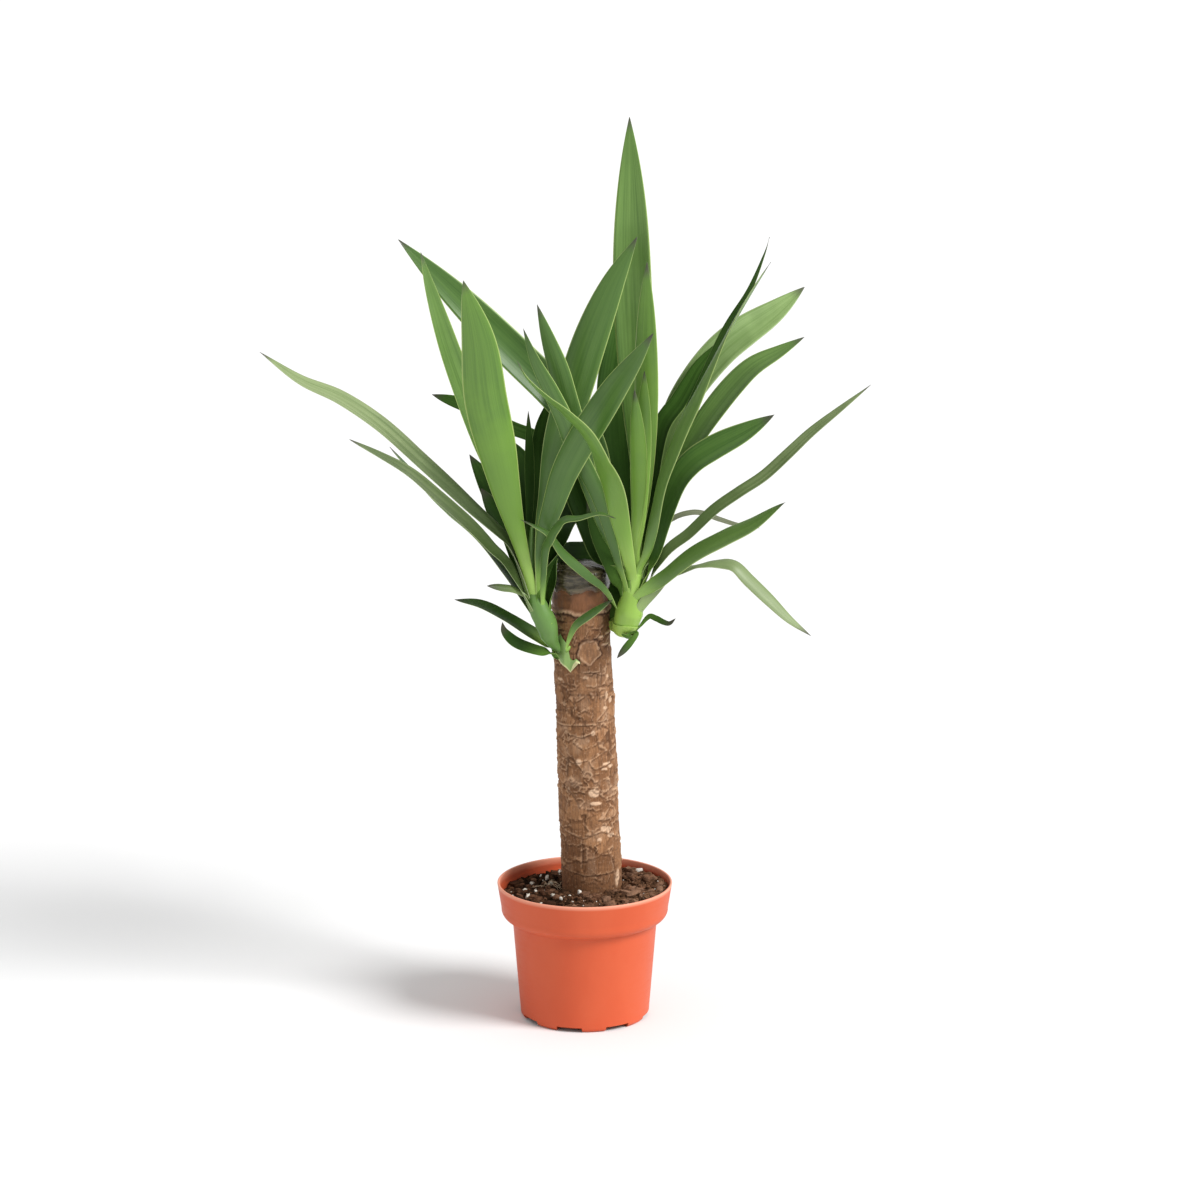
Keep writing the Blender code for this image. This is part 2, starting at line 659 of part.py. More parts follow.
def soil_surface(x, y):
    """The height of the soil's lumpy surface, which is lower at the back left."""
    lumps = math.sin(x / LUMP_SIZE + 1.3) * math.sin(y / (LUMP_SIZE * 0.85))
    lumps += 0.6 * math.sin((x + y) / CRUMB_SIZE) * math.sin((x - y) / (CRUMB_SIZE * 1.25) + 0.7)
    slope = SOIL_SLOPE * (x - y) / (2 * RIM_RADIUS)
    return SOIL_LEVEL + SOIL_RELIEF * lumps / 2 + slope


def soil_ring(radius, share, height=None):
    """A ring from the cane's hole at share 0 to the pot's wall at share 1, on the surface or at a height."""
    ring = []
    for side in range(SOIL_SIDES):
        angle = math.tau * side / SOIL_SIDES
        x = CANE_X_AT_SOIL * (1 - share) + radius * math.cos(angle)
        y = CANE_DEPTH * (1 - share) + radius * math.sin(angle)
        ring.append((x, y, soil_surface(x, y) if height is None else height))
    return ring


def make_soil(collection, material):
    """The potting mix: it fills the pot to its lumpy surface and has a plain hole for the cane."""
    wall = RIM_RADIUS - POT_WALL - CLEARANCE - RIM_TAPER_ALLOWANCE
    body_top = POT_HEIGHT - RIM_HEIGHT - SHOULDER_HEIGHT
    rings = [soil_ring(SOIL_HOLE_RADIUS, 0.0, CANE_FOOT - CLEARANCE)]
    for i in range(SOIL_RINGS + 1):
        share = i / SOIL_RINGS
        rings.append(soil_ring(SOIL_HOLE_RADIUS + (wall - SOIL_HOLE_RADIUS) * share, share))
    rim_foot_radius = RIM_FOOT_RADIUS - POT_WALL - 2 * CLEARANCE
    rings.append(soil_ring(rim_foot_radius, 1.0, POT_HEIGHT - RIM_HEIGHT))
    rings.append(soil_ring(pot_inner_radius(body_top) - 2 * CLEARANCE, 1.0, body_top - CLEARANCE))
    rings.append(soil_ring(pot_inner_radius(POT_FLOOR) - 3 * MM, 1.0, POT_FLOOR + CLEARANCE))
    return add_mesh_object("soil", *tube_mesh(rings[::-1]), collection, material)


def make_stem(name, shoot, cutter, collection, material):
    """A green shoot: a tapering tube, its foot cut to seat against the cane's bark."""
    curve = bpy.data.curves.new(name + "_route", "CURVE")
    curve.dimensions = "3D"
    curve.bevel_depth = 1.0
    curve.bevel_resolution = STEM_ROUNDING
    curve.use_fill_caps = True
    points = stem_points(shoot)
    length = arc_lengths(points)
    fractions = np.linspace(0.0, 1.0, STEM_STATIONS)
    places, _ = smooth_route(points, fractions)
    radii = np.interp(fractions * length[-1], length, np.array(shoot.radii) * MM)
    spline = curve.splines.new("POLY")
    spline.points.add(STEM_STATIONS - 1)
    for point, place, radius in zip(spline.points, places, radii):
        point.co = (*place, 1.0)
        point.radius = radius
    guide = bpy.data.objects.new(name + "_guide", curve)
    collection.objects.link(guide)
    bpy.context.view_layer.update()
    evaluated = guide.evaluated_get(bpy.context.evaluated_depsgraph_get())
    mesh = bpy.data.meshes.new_from_object(evaluated)
    bpy.data.objects.remove(guide, do_unlink=True)
    edit = bmesh.new()
    edit.from_mesh(mesh)
    bmesh.ops.remove_doubles(edit, verts=edit.verts, dist=MERGE_DISTANCE)
    bmesh.ops.recalc_face_normals(edit, faces=edit.faces)
    edit.to_mesh(mesh)
    edit.free()
    mesh.materials.clear()
    mesh.materials.append(material)
    mesh.shade_smooth()
    stem = bpy.data.objects.new(name, mesh)
    collection.objects.link(stem)
    cut(stem, cutter)
    return stem


def main():
    """Empties the scene and builds the plant in its pot."""
    for old in list(bpy.data.objects):
        bpy.data.objects.remove(old, do_unlink=True)
    plant = make_collection(COLLECTION_NAME)
    cutters = make_collection(CUTTER_COLLECTION_NAME)
    plastic = make_material("orange_plastic", (0.68, 0.13, 0.055), 0.5)
    peat = make_material("peat", (0.05, 0.03, 0.018), 0.95)
    bark = make_material("bark", (0.36, 0.20, 0.11), 0.85)
    wax = make_material("wax", (0.05, 0.05, 0.03), 0.3)
    shoot_green = make_material("shoot_green", (0.34, 0.46, 0.12), 0.5)
    leaf_green = make_material("leaf_green", (0.09, 0.18, 0.04), 0.45)
    make_pot(plant, cutters, plastic)
    make_soil(plant, peat)
    make_cane(plant, bark)
    make_wax(plant, wax)
    clearance = make_cane_clearance(cutters, bark)
    for side, shoot in SHOOTS.items():
        make_stem(f"{side}_stem", shoot, clearance, plant, shoot_green)
        for number, leaf in enumerate(LEAVES[side], 1):
            make_blade(f"{side}_leaf_{number:02d}", leaf, shoot, plant, leaf_green)


main()
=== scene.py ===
"""Looks of a potted yucca: a ringed cane with a waxed top and two leafy shoots, in an orange nursery pot.

Metres, +Z up. X runs to the right and Y away from someone who faces the front, and the origin is the centre
of the pot's base. Each sub-assembly is a class that works its surfaces out as grids of points and dresses
them with its finish.
"""

import logging
import math
from dataclasses import dataclass, field
from enum import Enum

import bmesh
import bpy
import numpy as np
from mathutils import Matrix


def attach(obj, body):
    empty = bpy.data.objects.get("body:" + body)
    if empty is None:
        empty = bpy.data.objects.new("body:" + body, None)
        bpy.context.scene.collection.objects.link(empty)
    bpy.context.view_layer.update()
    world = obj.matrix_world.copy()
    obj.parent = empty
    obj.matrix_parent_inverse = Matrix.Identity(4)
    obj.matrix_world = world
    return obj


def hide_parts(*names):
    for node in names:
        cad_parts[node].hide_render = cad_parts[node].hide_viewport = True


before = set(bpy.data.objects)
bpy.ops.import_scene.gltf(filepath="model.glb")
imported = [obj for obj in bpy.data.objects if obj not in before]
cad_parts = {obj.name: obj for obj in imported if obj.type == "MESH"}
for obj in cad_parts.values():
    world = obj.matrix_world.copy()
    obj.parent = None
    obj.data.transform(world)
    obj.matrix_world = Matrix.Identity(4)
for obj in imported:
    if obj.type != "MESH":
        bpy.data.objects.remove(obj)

Array = np.ndarray
Colour = tuple[float, float, float]
Shown = tuple[int, int, int]
Socket = bpy.types.NodeSocket
Tree = bpy.types.NodeTree
Mesh = bpy.types.Mesh
Material = bpy.types.Material

LOG = logging.getLogger("potted_yucca")
MM = 0.001
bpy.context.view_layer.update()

# Whole numbers that scatter the lattice's random values
CELL_PRIMES = np.array([73856093, 19349663, 83492791], dtype=np.int64)
SEED_PRIME = 2654435761
MIX_PRIME = 1274126177
HASH_TOP = 0xFFFFFF

# A distance in cells that is greater than any to a nearest centre
FAR_CELLS = 9.0


# Geometry helpers


def unit(vectors: Array, least: float = 1e-12) -> Array:
    """Vectors scaled to length one along the last axis, but for those shorter than the least length."""
    return vectors / np.maximum(np.linalg.norm(vectors, axis=-1, keepdims=True), least)


def smoothstep(low: float, high: float, values: Array) -> Array:
    """The cubic 3t^2 - 2t^3 of how far the values are from low to high, held at 0 and 1 outside."""
    t = np.clip((values - low) / (high - low), 0.0, 1.0)
    return t * t * (3.0 - 2.0 * t)


def bell(distance: Array, width: float) -> Array:
    """The bell curve exp(-(distance / width)^2)."""
    return np.exp(-((distance / width) ** 2))


def arc_lengths(points: Array) -> Array:
    """Distance along the points, from 0 at the first."""
    return np.concatenate(([0.0], np.cumsum(np.linalg.norm(np.diff(points, axis=0), axis=1))))


def stacked(*parts: Array | float) -> Array:
    """Vectors whose coordinates are these arrays or numbers."""
    return np.stack(np.broadcast_arrays(*parts), axis=-1)


def circle(sides: int) -> Array:
    """Evenly spaced angles once round."""
    return np.linspace(0.0, math.tau, sides, endpoint=False)


def smooth_route(
    points: Array, fractions: Array, steps: int = 16, reach: float = 0.01
) -> tuple[Array, Array]:
    """A Catmull-Rom curve through the points, read at fractions of its length.

    Args:
        points: The curve's control points, one a row.
        fractions: Where it is read, from 0 at the first point to 1 at the last.
        steps: How many samples stand for each span while its length is measured.
        reach: Share of the length to each side over which a tangent is measured.

    Returns:
        The places on the curve and the unit tangents there.
    """
    points = np.asarray(points, dtype=float)
    padded = np.vstack((2 * points[0] - points[1], points, 2 * points[-1] - points[-2]))
    t = np.linspace(0.0, 1.0, steps, endpoint=False)[None, :, None]
    a, b, c, d = (padded[i:len(points) - 1 + i, None, :] for i in range(4))
    square = (2 * a - 5 * b + 4 * c - d) * t**2
    cube = (3 * b - a - 3 * c + d) * t**3
    spans = (2 * b + (c - a) * t + square + cube) / 2
    dense = np.vstack((spans.reshape(-1, 3), points[-1:]))
    length = arc_lengths(dense)
    wanted = np.asarray(fractions) * length[-1]
    step = reach * length[-1]

    def read(at: Array) -> Array:
        """The curve's points at these distances along it."""
        return np.column_stack([np.interp(at, length, dense[:, k]) for k in range(3)])

    return read(wanted), unit(read(wanted + step) - read(wanted - step))


def hashed(cells: Array, seed: int) -> Array:
    """A repeatable number from 0 to 1 for each whole-number cell (the last axis holds its three indices)."""
    mixed = (cells.astype(np.int64) * CELL_PRIMES).sum(axis=-1) + seed * SEED_PRIME
    mixed = (mixed ^ (mixed >> 13)) * MIX_PRIME
    return ((mixed ^ (mixed >> 16)) & HASH_TOP) / float(HASH_TOP)


def value_noise(places: Array, seed: int) -> Array:
    """Smooth noise from 0 to 1: random values on a unit lattice, blended over each cell by the cubic ease."""
    base = np.floor(places)
    t = smoothstep(0.0, 1.0, places - base)
    total = np.zeros(places.shape[:-1])
    for corner in np.ndindex(2, 2, 2):
        weight = np.prod(np.where(corner, t, 1.0 - t), axis=-1)
        total += weight * hashed(base + np.array(corner), seed)
    return total


def layered_noise(places: Array, seed: int, layers: int = 4) -> Array:
    """Noise from about -1 to 1: each layer twice as fine as the one before and half as strong."""
    total = np.zeros(places.shape[:-1])
    for layer in range(layers):
        total += (value_noise(places * 2.0**layer, seed + layer) - 0.5) * 2.0 * 0.5**layer
    return total / (2.0 - 2.0 ** (1 - layers))


def cell_pattern(places: Array, seed: int) -> tuple[Array, Array, Array]:
    """Distances to the scattered centres of a cellular pattern, one centre in each unit cell.

    Args:
        places: Points, with the pattern's coordinates on the last axis.
        seed: Which scatter is used.

    Returns:
        The distance to the nearest centre, how much farther the second one is, and the nearest cell's number.
    """
    base = np.floor(places)
    first, second = np.full((2, *places.shape[:-1]), FAR_CELLS)
    number = np.zeros(places.shape[:-1])
    for offset in np.ndindex(3, 3, 3):
        cell = base + np.array(offset) - 1
        centre = cell + stacked(*(hashed(cell, seed + k) for k in range(3)))
        distance = np.linalg.norm(places - centre, axis=-1)
        nearer = distance < first
        second = np.where(nearer, first, np.minimum(second, distance))
        number = np.where(nearer, hashed(cell, seed + 7), number)
        first = np.where(nearer, distance, first)
    return first, second - first, number


def grid_quads(rows: int, columns: int) -> Array:
    """Four vertex numbers for each face of a grid that is numbered along its rows, which run round."""
    row, column = np.meshgrid(np.arange(rows - 1), np.arange(columns), indexing="ij")
    here, after = row * columns, (column + 1) % columns
    corners = (here + column, here + after, here + columns + after, here + columns + column)
    return stacked(*corners).reshape(-1, 4)


# Meshes and pieces


def solid_mesh(name: str, points: Array, faces: list, sharp: float = 180.0) -> Mesh:
    """A smooth mesh whose faces point out.

    Args:
        name: The mesh's name.
        points: Its points, on the last axis.
        faces: The vertex numbers of each face.
        sharp: Edges that turn by more degrees than this stay sharp.
    """
    mesh = bpy.data.meshes.new(name)
    mesh.from_pydata(points.reshape(-1, 3).tolist(), [], faces)
    work = bmesh.new()
    work.from_mesh(mesh)
    bmesh.ops.recalc_face_normals(work, faces=work.faces)
    work.to_mesh(mesh)
    work.free()
    mesh.shade_smooth()
    mesh.set_sharp_from_angle(angle=math.radians(sharp))
    return mesh


def store(mesh: Mesh, key: str, values: Array) -> None:
    """Stores one number for each point, or one vector where the values have two axes."""
    kind, part = ("FLOAT_VECTOR", "vector") if values.ndim == 2 else ("FLOAT", "value")
    layer = mesh.attributes.new(key, kind, "POINT")
    layer.data.foreach_set(part, values.astype(np.float32).ravel())


@dataclass
class Surface:
    """A closed surface as a grid of points whose rows run round, with a face at each end.

    Attributes:
        points: Points on the last axis, in rows and columns.
        values: Named numbers or vectors at each point, for the finish to read.
        uv: Two numbers at each point, or None.
    """

    points: Array
    values: dict[str, Array] = field(default_factory=dict)
    uv: Array | None = None

    def mesh(self, name: str) -> Mesh:
        """The surface as a mesh of this name with its faces pointing out."""
        rows, columns = self.points.shape[:2]
        faces = grid_quads(rows, columns).tolist()
        faces.append(list(range(columns))[::-1])
        faces.append(list(range((rows - 1) * columns, rows * columns)))
        mesh = solid_mesh(name, self.points, faces)
        for key, value in self.values.items():
            store(mesh, key, value.reshape(rows * columns, *value.shape[2:]))
        if self.uv is not None:
            corner = np.empty(len(mesh.loops), dtype=np.int32)
            mesh.loops.foreach_get("vertex_index", corner)
            layer = mesh.uv_layers.new(name="UVMap")
            layer.data.foreach_set("uv", self.uv.reshape(-1, 2)[corner].astype(np.float32).ravel())
        return mesh


def joined(parts: list[Mesh], name: str) -> Mesh:
    """One mesh that holds all these meshes, which are removed."""
    work = bmesh.new()
    for part in parts:
        work.from_mesh(part)
    mesh = bpy.data.meshes.new(name)
    work.to_mesh(mesh)
    work.free()
    for part in parts:
        bpy.data.meshes.remove(part)
    mesh.shade_smooth()
    return mesh


def linked(name: str, data: bpy.types.ID) -> bpy.types.Object:
    """A new object of the scene with this mesh, lamp or camera."""
    made = bpy.data.objects.new(name, data)
    bpy.context.scene.collection.objects.link(made)
    return made


def add_piece(name: str, mesh: Mesh, material: Material, slot: str, *nodes: str) -> None:
    """Puts a mesh in the scene as a piece that rides on the part's one body.

    Args:
        name: The piece's name.
        mesh: Its mesh, already in place.
        material: Its finish.
        slot: Not used. The material slot of the record that it belongs to.
        nodes: The solids that it stands for.
    """
    piece = linked(name, mesh)
    mesh.materials.clear()
    mesh.materials.append(material)
    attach(piece, "root")
    if nodes:
        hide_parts(*nodes)
    LOG.info("%s: %d faces", name, len(mesh.polygons))


# Shader building


def tint(red: int, green: int, blue: int) -> Colour:
    """A linear colour from display values of 0 to 255, by the sRGB curve."""
    shown = np.array([red, green, blue]) / 255.0
    linear = np.where(shown <= 0.04045, shown / 12.92, ((shown + 0.055) / 1.055) ** 2.4)
    return tuple(float(value) for value in linear)


class Graph:
    """Adds nodes to a shader tree and links them in the order that a formula is read."""

    def __init__(self, tree: Tree) -> None:
        """Keeps the tree that nodes are added to."""
        self.tree = tree

    def node(self, kind: str, **settings: object) -> bpy.types.Node:
        """A new node of this kind with these settings."""
        made = self.tree.nodes.new(kind)
        for key, value in settings.items():
            setattr(made, key, value)
        return made

    def feed(self, socket: Socket, value: object) -> None:
        """Links the socket to another socket, or sets its value."""
        if isinstance(value, Socket):
            self.tree.links.new(value, socket)
        elif isinstance(value, tuple) and len(socket.default_value) == 4:
            socket.default_value = (*value, 1.0)
        else:
            socket.default_value = value

    def fed(self, made: bpy.types.Node, *values: object) -> Socket:
        """The node's first output, once its first inputs have been fed these values."""
        for socket, value in zip(made.inputs, values):
            self.feed(socket, value)
        return made.outputs[0]

    def math(self, operation: str, a: object, b: object = 0.0, clamp: bool = False) -> Socket:
        """One arithmetic step on two values."""
        return self.fed(self.node("ShaderNodeMath", operation=operation, use_clamp=clamp), a, b)

    def plus(self, a: object, b: object) -> Socket:
        """The sum of two values."""
        return self.math("ADD", a, b)

    def times(self, a: object, b: object, clamp: bool = False) -> Socket:
        """The product of two values, held between 0 and 1 if asked."""
        return self.math("MULTIPLY", a, b, clamp)

    def ramp(self, value: object, low: float, high: float, start: float = 0.0, end: float = 1.0) -> Socket:
        """The value eased from low to high onto another range."""
        made = self.node("ShaderNodeMapRange", interpolation_type="SMOOTHSTEP")
        return self.fed(made, value, low, high, start, end)

    def mix(self, share: object, a: object, b: object) -> Socket:
        """Colour a turned towards colour b by a share."""
        made = self.node("ShaderNodeMix", data_type="RGBA", blend_type="MIX", clamp_factor=True)
        self.feed(made.inputs[0], share)
        self.feed(made.inputs[6], a)
        self.feed(made.inputs[7], b)
        return made.outputs[2]

    def stretched(self, vector: object, z: float) -> Socket:
        """The vector with its upward part multiplied by a number."""
        return self.fed(self.node("ShaderNodeVectorMath", operation="MULTIPLY"), vector, (1.0, 1.0, z))

    def noise(self, vector: object, scale: float, detail: float = 3.0, roughness: float = 0.5) -> Socket:
        """Noise from 0 to 1 with this many features a metre of the vector."""
        made = self.node("ShaderNodeTexNoise")
        given = {"Vector": vector, "Scale": scale, "Detail": detail, "Roughness": roughness}
        for key, value in given.items():
            self.feed(made.inputs[key], value)
        return made.outputs["Fac"]

    def combined(self, x: object, y: object, z: object) -> Socket:
        """A vector from three values."""
        return self.fed(self.node("ShaderNodeCombineXYZ"), x, y, z)

    def stored(self, name: str) -> Socket:
        """A number stored on the piece, or with ".x", ".y" or ".z" at its end one part of a vector."""
        key, _, axis = name.partition(".")
        read = self.node("ShaderNodeAttribute", attribute_name=key)
        if not axis:
            return read.outputs["Fac"]
        split = self.node("ShaderNodeSeparateXYZ")
        self.feed(split.inputs[0], read.outputs["Vector"])
        return split.outputs["xyz".index(axis)]


class Pattern(Graph):
    """A node group that takes a place, values and colours, and puts out a colour, a roughness and a height.

    Attributes:
        given: The group's input sockets in order: the place, the values, the colours.
    """

    def __init__(self, name: str, values: tuple[str, ...], colours: tuple[str, ...]) -> None:
        """Makes the group with its named sockets.

        Args:
            name: The group's name.
            values: Names of the inputs that take a number.
            colours: Names of the inputs that take a colour.
        """
        super().__init__(bpy.data.node_groups.new(name, "ShaderNodeTree"))
        kinds = {"Place": "Vector", **dict.fromkeys(values, "Float"), **dict.fromkeys(colours, "Color")}
        for key, kind in kinds.items():
            self.tree.interface.new_socket(name=key, in_out="INPUT", socket_type=f"NodeSocket{kind}")
        for key, kind in (("Colour", "Color"), ("Roughness", "Float"), ("Height", "Float")):
            self.tree.interface.new_socket(name=key, in_out="OUTPUT", socket_type=f"NodeSocket{kind}")
        entry = self.node("NodeGroupInput")
        self.given = [entry.outputs[key] for key in kinds]

    def finished(self, colour: Socket, roughness: Socket, height: Socket) -> Tree:
        """The group, with its three outputs fed."""
        for socket, value in zip(self.node("NodeGroupOutput").inputs, (colour, roughness, height)):
            self.feed(socket, value)
        return self.tree


@dataclass(frozen=True)
class Gloss:
    """How a surface reflects, all over alike.

    Attributes:
        specular: Strength of the plain reflection.
        relief: Height in metres that the pattern's full range stands for.
        coat: Strength of a clear coat.
        coat_roughness: The coat's roughness.
    """

    specular: float
    relief: float
    coat: float = 0.0
    coat_roughness: float = 0.2


def dressed(name: str, group: Tree, gloss: Gloss, values: dict) -> Material:
    """A Principled material whose colour, roughness and relief come from a pattern group.

    Args:
        name: The material's name.
        group: A group with the outputs Colour, Roughness and Height.
        gloss: The values that are the same all over.
        values: What the group's inputs are given: a colour in display values, a number, or the name of a
            stored value as Graph.stored takes it.

    Returns:
        The new material.
    """
    material = bpy.data.materials.new(name)
    material.use_nodes = True
    graph = Graph(material.node_tree)
    made = graph.node("ShaderNodeGroup", node_tree=group)
    for key, value in values.items():
        if isinstance(value, str):
            value = graph.stored(value)
        elif isinstance(value, tuple):
            value = tint(*value)
        graph.feed(made.inputs[key], value)
    graph.feed(made.inputs["Place"], graph.node("ShaderNodeTexCoord").outputs["Object"])
    bump = graph.node("ShaderNodeBump")
    bump.inputs["Strength"].default_value = 1.0
    bump.inputs["Distance"].default_value = gloss.relief
    graph.feed(bump.inputs["Height"], made.outputs["Height"])
    surface = material.node_tree.nodes["Principled BSDF"]
    for key, value in {
        "Base Color": made.outputs["Colour"], "Roughness": made.outputs["Roughness"],
        "Normal": bump.outputs["Normal"], "Specular IOR Level": gloss.specular,
        "Coat Weight": gloss.coat, "Coat Roughness": gloss.coat_roughness,
    }.items():
        graph.feed(surface.inputs[key], value)
    return material


def blade_pattern() -> Tree:
    """Leaf pattern: fine lengthwise veins, a lime base, pale margins, a dry tip and a paler underside.

    Towards the root the blade takes its inner colour, which is painted shade on most tones and lime on
    SPRING.
    """
    graph = Pattern(
        "blade_pattern",
        ("Across", "Reach", "Tip", "Under", "Inner Reach", "Base Reach", "Margin Start", "Sheen"),
        ("Blade", "Streak", "Base", "Margin", "Dry", "Inner"),
    )
    (place, across, reach, tip, under, inner_reach, base_reach, margin_start, sheen,
     blade, streak, base, margin, dry, inner) = graph.given
    fine = graph.combined(graph.times(across, 11.0), graph.times(reach, 9.0), 0.0)
    veins = graph.noise(fine, 1.0, 3.0, 0.6)
    broad = graph.combined(graph.times(across, 2.6), graph.times(reach, 5.0), 3.0)
    bands = graph.noise(broad, 1.0, 2.0)
    clouds = graph.noise(place, 24.0)
    colour = graph.mix(graph.ramp(veins, 0.36, 0.66, 0.0, 0.6), blade, streak)
    colour = graph.mix(graph.ramp(bands, 0.38, 0.66, 0.0, 0.6), colour, streak)
    colour = graph.mix(graph.ramp(clouds, 0.4, 0.7, 0.0, 0.45), colour, inner)
    # Inner colour towards the root: painted shade for the crown's middle on most tones, lime on SPRING
    inward = graph.plus(graph.math("DIVIDE", reach, inner_reach), graph.times(bands, 0.5))
    colour = graph.mix(graph.ramp(inward, 0.5, 1.5, 0.85, 0.0), colour, inner)
    near_root = graph.plus(graph.math("DIVIDE", reach, base_reach), graph.times(veins, 0.35))
    colour = graph.mix(graph.ramp(near_root, 0.25, 1.2, 1.0, 0.0), colour, base)
    colour = graph.mix(graph.times(under, 0.35), colour, streak)
    edge = graph.math("SUBTRACT", graph.math("ABSOLUTE", across), margin_start)
    colour = graph.mix(graph.ramp(edge, 0.0, 0.045, 0.0, 0.85), colour, margin)
    ragged = graph.plus(tip, graph.times(graph.math("SUBTRACT", clouds, 0.5), 0.012))
    colour = graph.mix(graph.ramp(ragged, 0.001, 0.015, 0.9, 0.0), colour, dry)
    rough = graph.plus(sheen, graph.ramp(clouds, 0.3, 0.7, -0.04, 0.06))
    return graph.finished(colour, rough, graph.plus(veins, graph.times(bands, 0.6)))


def bark_pattern() -> Tree:
    """Bark pattern: plates of unlike browns, dark cracks, pale flakes, and fibres that run up the cane.

    The cracks' mask also carries painted shade and painted shadows, which take the same dark colour.
    """
    graph = Pattern(
        "bark_pattern", ("Plate", "Crack", "Peeled", "Pale"), ("Dark", "Brown", "Tan", "Red", "Flake")
    )
    place, plate, crack, peeled, pale, dark, brown, tan, red, flake = graph.given
    fibres = graph.noise(graph.stretched(place, 0.12), 900.0, 4.0, 0.6)
    blotches = graph.noise(graph.stretched(place, 0.7), 95.0, 4.0, 0.55)
    grit = graph.noise(place, 620.0, 3.0, 0.6)
    tone = graph.plus(graph.times(plate, 0.75), graph.times(blotches, 0.75))
    colour = graph.mix(graph.ramp(tone, 0.35, 1.1), brown, tan)
    colour = graph.mix(graph.ramp(fibres, 0.4, 0.7, 0.0, 0.45), colour, dark)
    colour = graph.mix(graph.ramp(grit, 0.55, 0.75, 0.0, 0.3), colour, flake)
    colour = graph.mix(graph.times(peeled, 0.9), colour, red)
    # Cracks, and the painted shade and shadows that share their mask, take the dark colour
    colour = graph.mix(crack, graph.mix(pale, colour, flake), dark)
    rough = graph.ramp(graph.plus(fibres, peeled), 0.3, 1.4, 0.85, 0.5)
    return graph.finished(colour, rough, graph.plus(fibres, graph.times(grit, 0.7)))


def grain_pattern() -> Tree:
    """Loose mix pattern: dark and light crumbs mixed by each grain's tone and by fine noise.

    A tone below nought turns it towards the shade tint, partly as painted shade.
    """
    graph = Pattern("grain_pattern", ("Tone",), ("Shade", "Body", "Light"))
    place, tone, shade, body, light = graph.given
    coarse = graph.noise(place, 260.0, 4.0, 0.6)
    fine = graph.noise(place, 1500.0, 3.0, 0.6)
    colour = graph.mix(graph.ramp(coarse, 0.35, 0.65), shade, body)
    colour = graph.mix(graph.times(tone, graph.ramp(fine, 0.25, 0.7), clamp=True), colour, light)
    # A tone below nought darkens towards the shade tint: the mix's left side, partly painted shade
    colour = graph.mix(graph.times(tone, -1.8, clamp=True), colour, shade)
    return graph.finished(colour, graph.ramp(fine, 0.2, 0.8, 0.8, 1.0), graph.plus(coarse, fine))


def moulded_pattern() -> Tree:
    """Moulded plastic pattern: faint flow clouds, fine scuffs, a pale lip and a darker tint where it is asked
    for.

    The pale lip line is a painted highlight, and the darker tint is painted shade inside the wall
    with a trace of soil dusting.
    """
    graph = Pattern("moulded_pattern", ("Dusty", "Edge", "Sheen"), ("Body", "Worn", "Dust_And_Shade_Tint", "Lip"))
    place, dust_and_shade, edge, sheen, body, worn, dust_and_shade_tint, lip = graph.given
    clouds = graph.noise(graph.stretched(place, 0.5), 30.0)
    skin = graph.noise(place, 1400.0, 2.0)
    scuffs = graph.noise(graph.stretched(place, 6.0), 70.0, 5.0, 0.7)
    colour = graph.mix(graph.ramp(clouds, 0.3, 0.7, 0.0, 0.3), body, worn)
    colour = graph.mix(graph.ramp(scuffs, 0.62, 0.8, 0.0, 0.25), colour, worn)
    # A pale line along the lip: a painted highlight
    colour = graph.mix(edge, colour, lip)
    # Painted shade inside the wall, with a trace of soil dusting, broken up by the scuffs
    colour = graph.mix(graph.times(dust_and_shade, graph.ramp(scuffs, 0.3, 0.65)), colour, dust_and_shade_tint)
    rough = graph.plus(sheen, graph.ramp(scuffs, 0.4, 0.8, 0.0, 0.12))
    return graph.finished(colour, rough, graph.plus(skin, graph.times(scuffs, 0.5)))


def wax_pattern() -> Tree:
    """Sealing wax pattern: cloudy dark green-grey with thin milky streaks round it."""
    graph = Pattern("wax_pattern", ("Thin",), ("Deep", "Milky", "Foot"))
    place, thin, deep, milky, foot = graph.given
    streaks = graph.noise(graph.stretched(place, 5.0), 110.0, 4.0, 0.6)
    lumps = graph.noise(place, 240.0)
    colour = graph.mix(graph.ramp(streaks, 0.42, 0.72, 0.0, 0.8), deep, milky)
    colour = graph.mix(graph.times(thin, 0.7), colour, foot)
    rough = graph.ramp(lumps, 0.3, 0.7, 0.16, 0.36)
    return graph.finished(colour, rough, graph.plus(lumps, graph.times(streaks, 0.5)))


# The shoots


@dataclass(frozen=True)
class Sight:
    """The viewpoint in front of the pot that the shoots were measured from, in millimetres.

    A place is given as it is seen there: across and up on a board square to the sight line, and its depth
    behind the pot's axis.
    """

    distance: float = 3500.0
    pitch: float = math.radians(13.6)
    aim_height: float = 347.0
    centre_across: float = 12.4
    centre_up: float = 329.6

    @property
    def aim(self) -> Array:
        """The middle of the board."""
        return np.array([self.centre_across, 0.0, self.aim_height])

    @property
    def eye(self) -> Array:
        """The viewpoint."""
        return self.aim - self.distance * np.array([0.0, math.cos(self.pitch), -math.sin(self.pitch)])

    def place(self, across: Array, up: Array, depth: Array) -> Array:
        """The points in metres that are seen at (across, up) and lie at these depths.

        The ray from the eye through the board's point is followed until it reaches the depth.
        """
        across, up, depth = (np.asarray(v, dtype=float)[..., None] for v in (across, up, depth))
        board_up = np.array([0.0, math.sin(self.pitch), math.cos(self.pitch)])
        board = self.aim + (across - self.centre_across) * np.array([1.0, 0.0, 0.0])
        board = board + (up - self.centre_up) * board_up
        reach = (depth - self.eye[1]) / (board[..., 1:2] - self.eye[1])
        return (self.eye + (board - self.eye) * reach) * MM


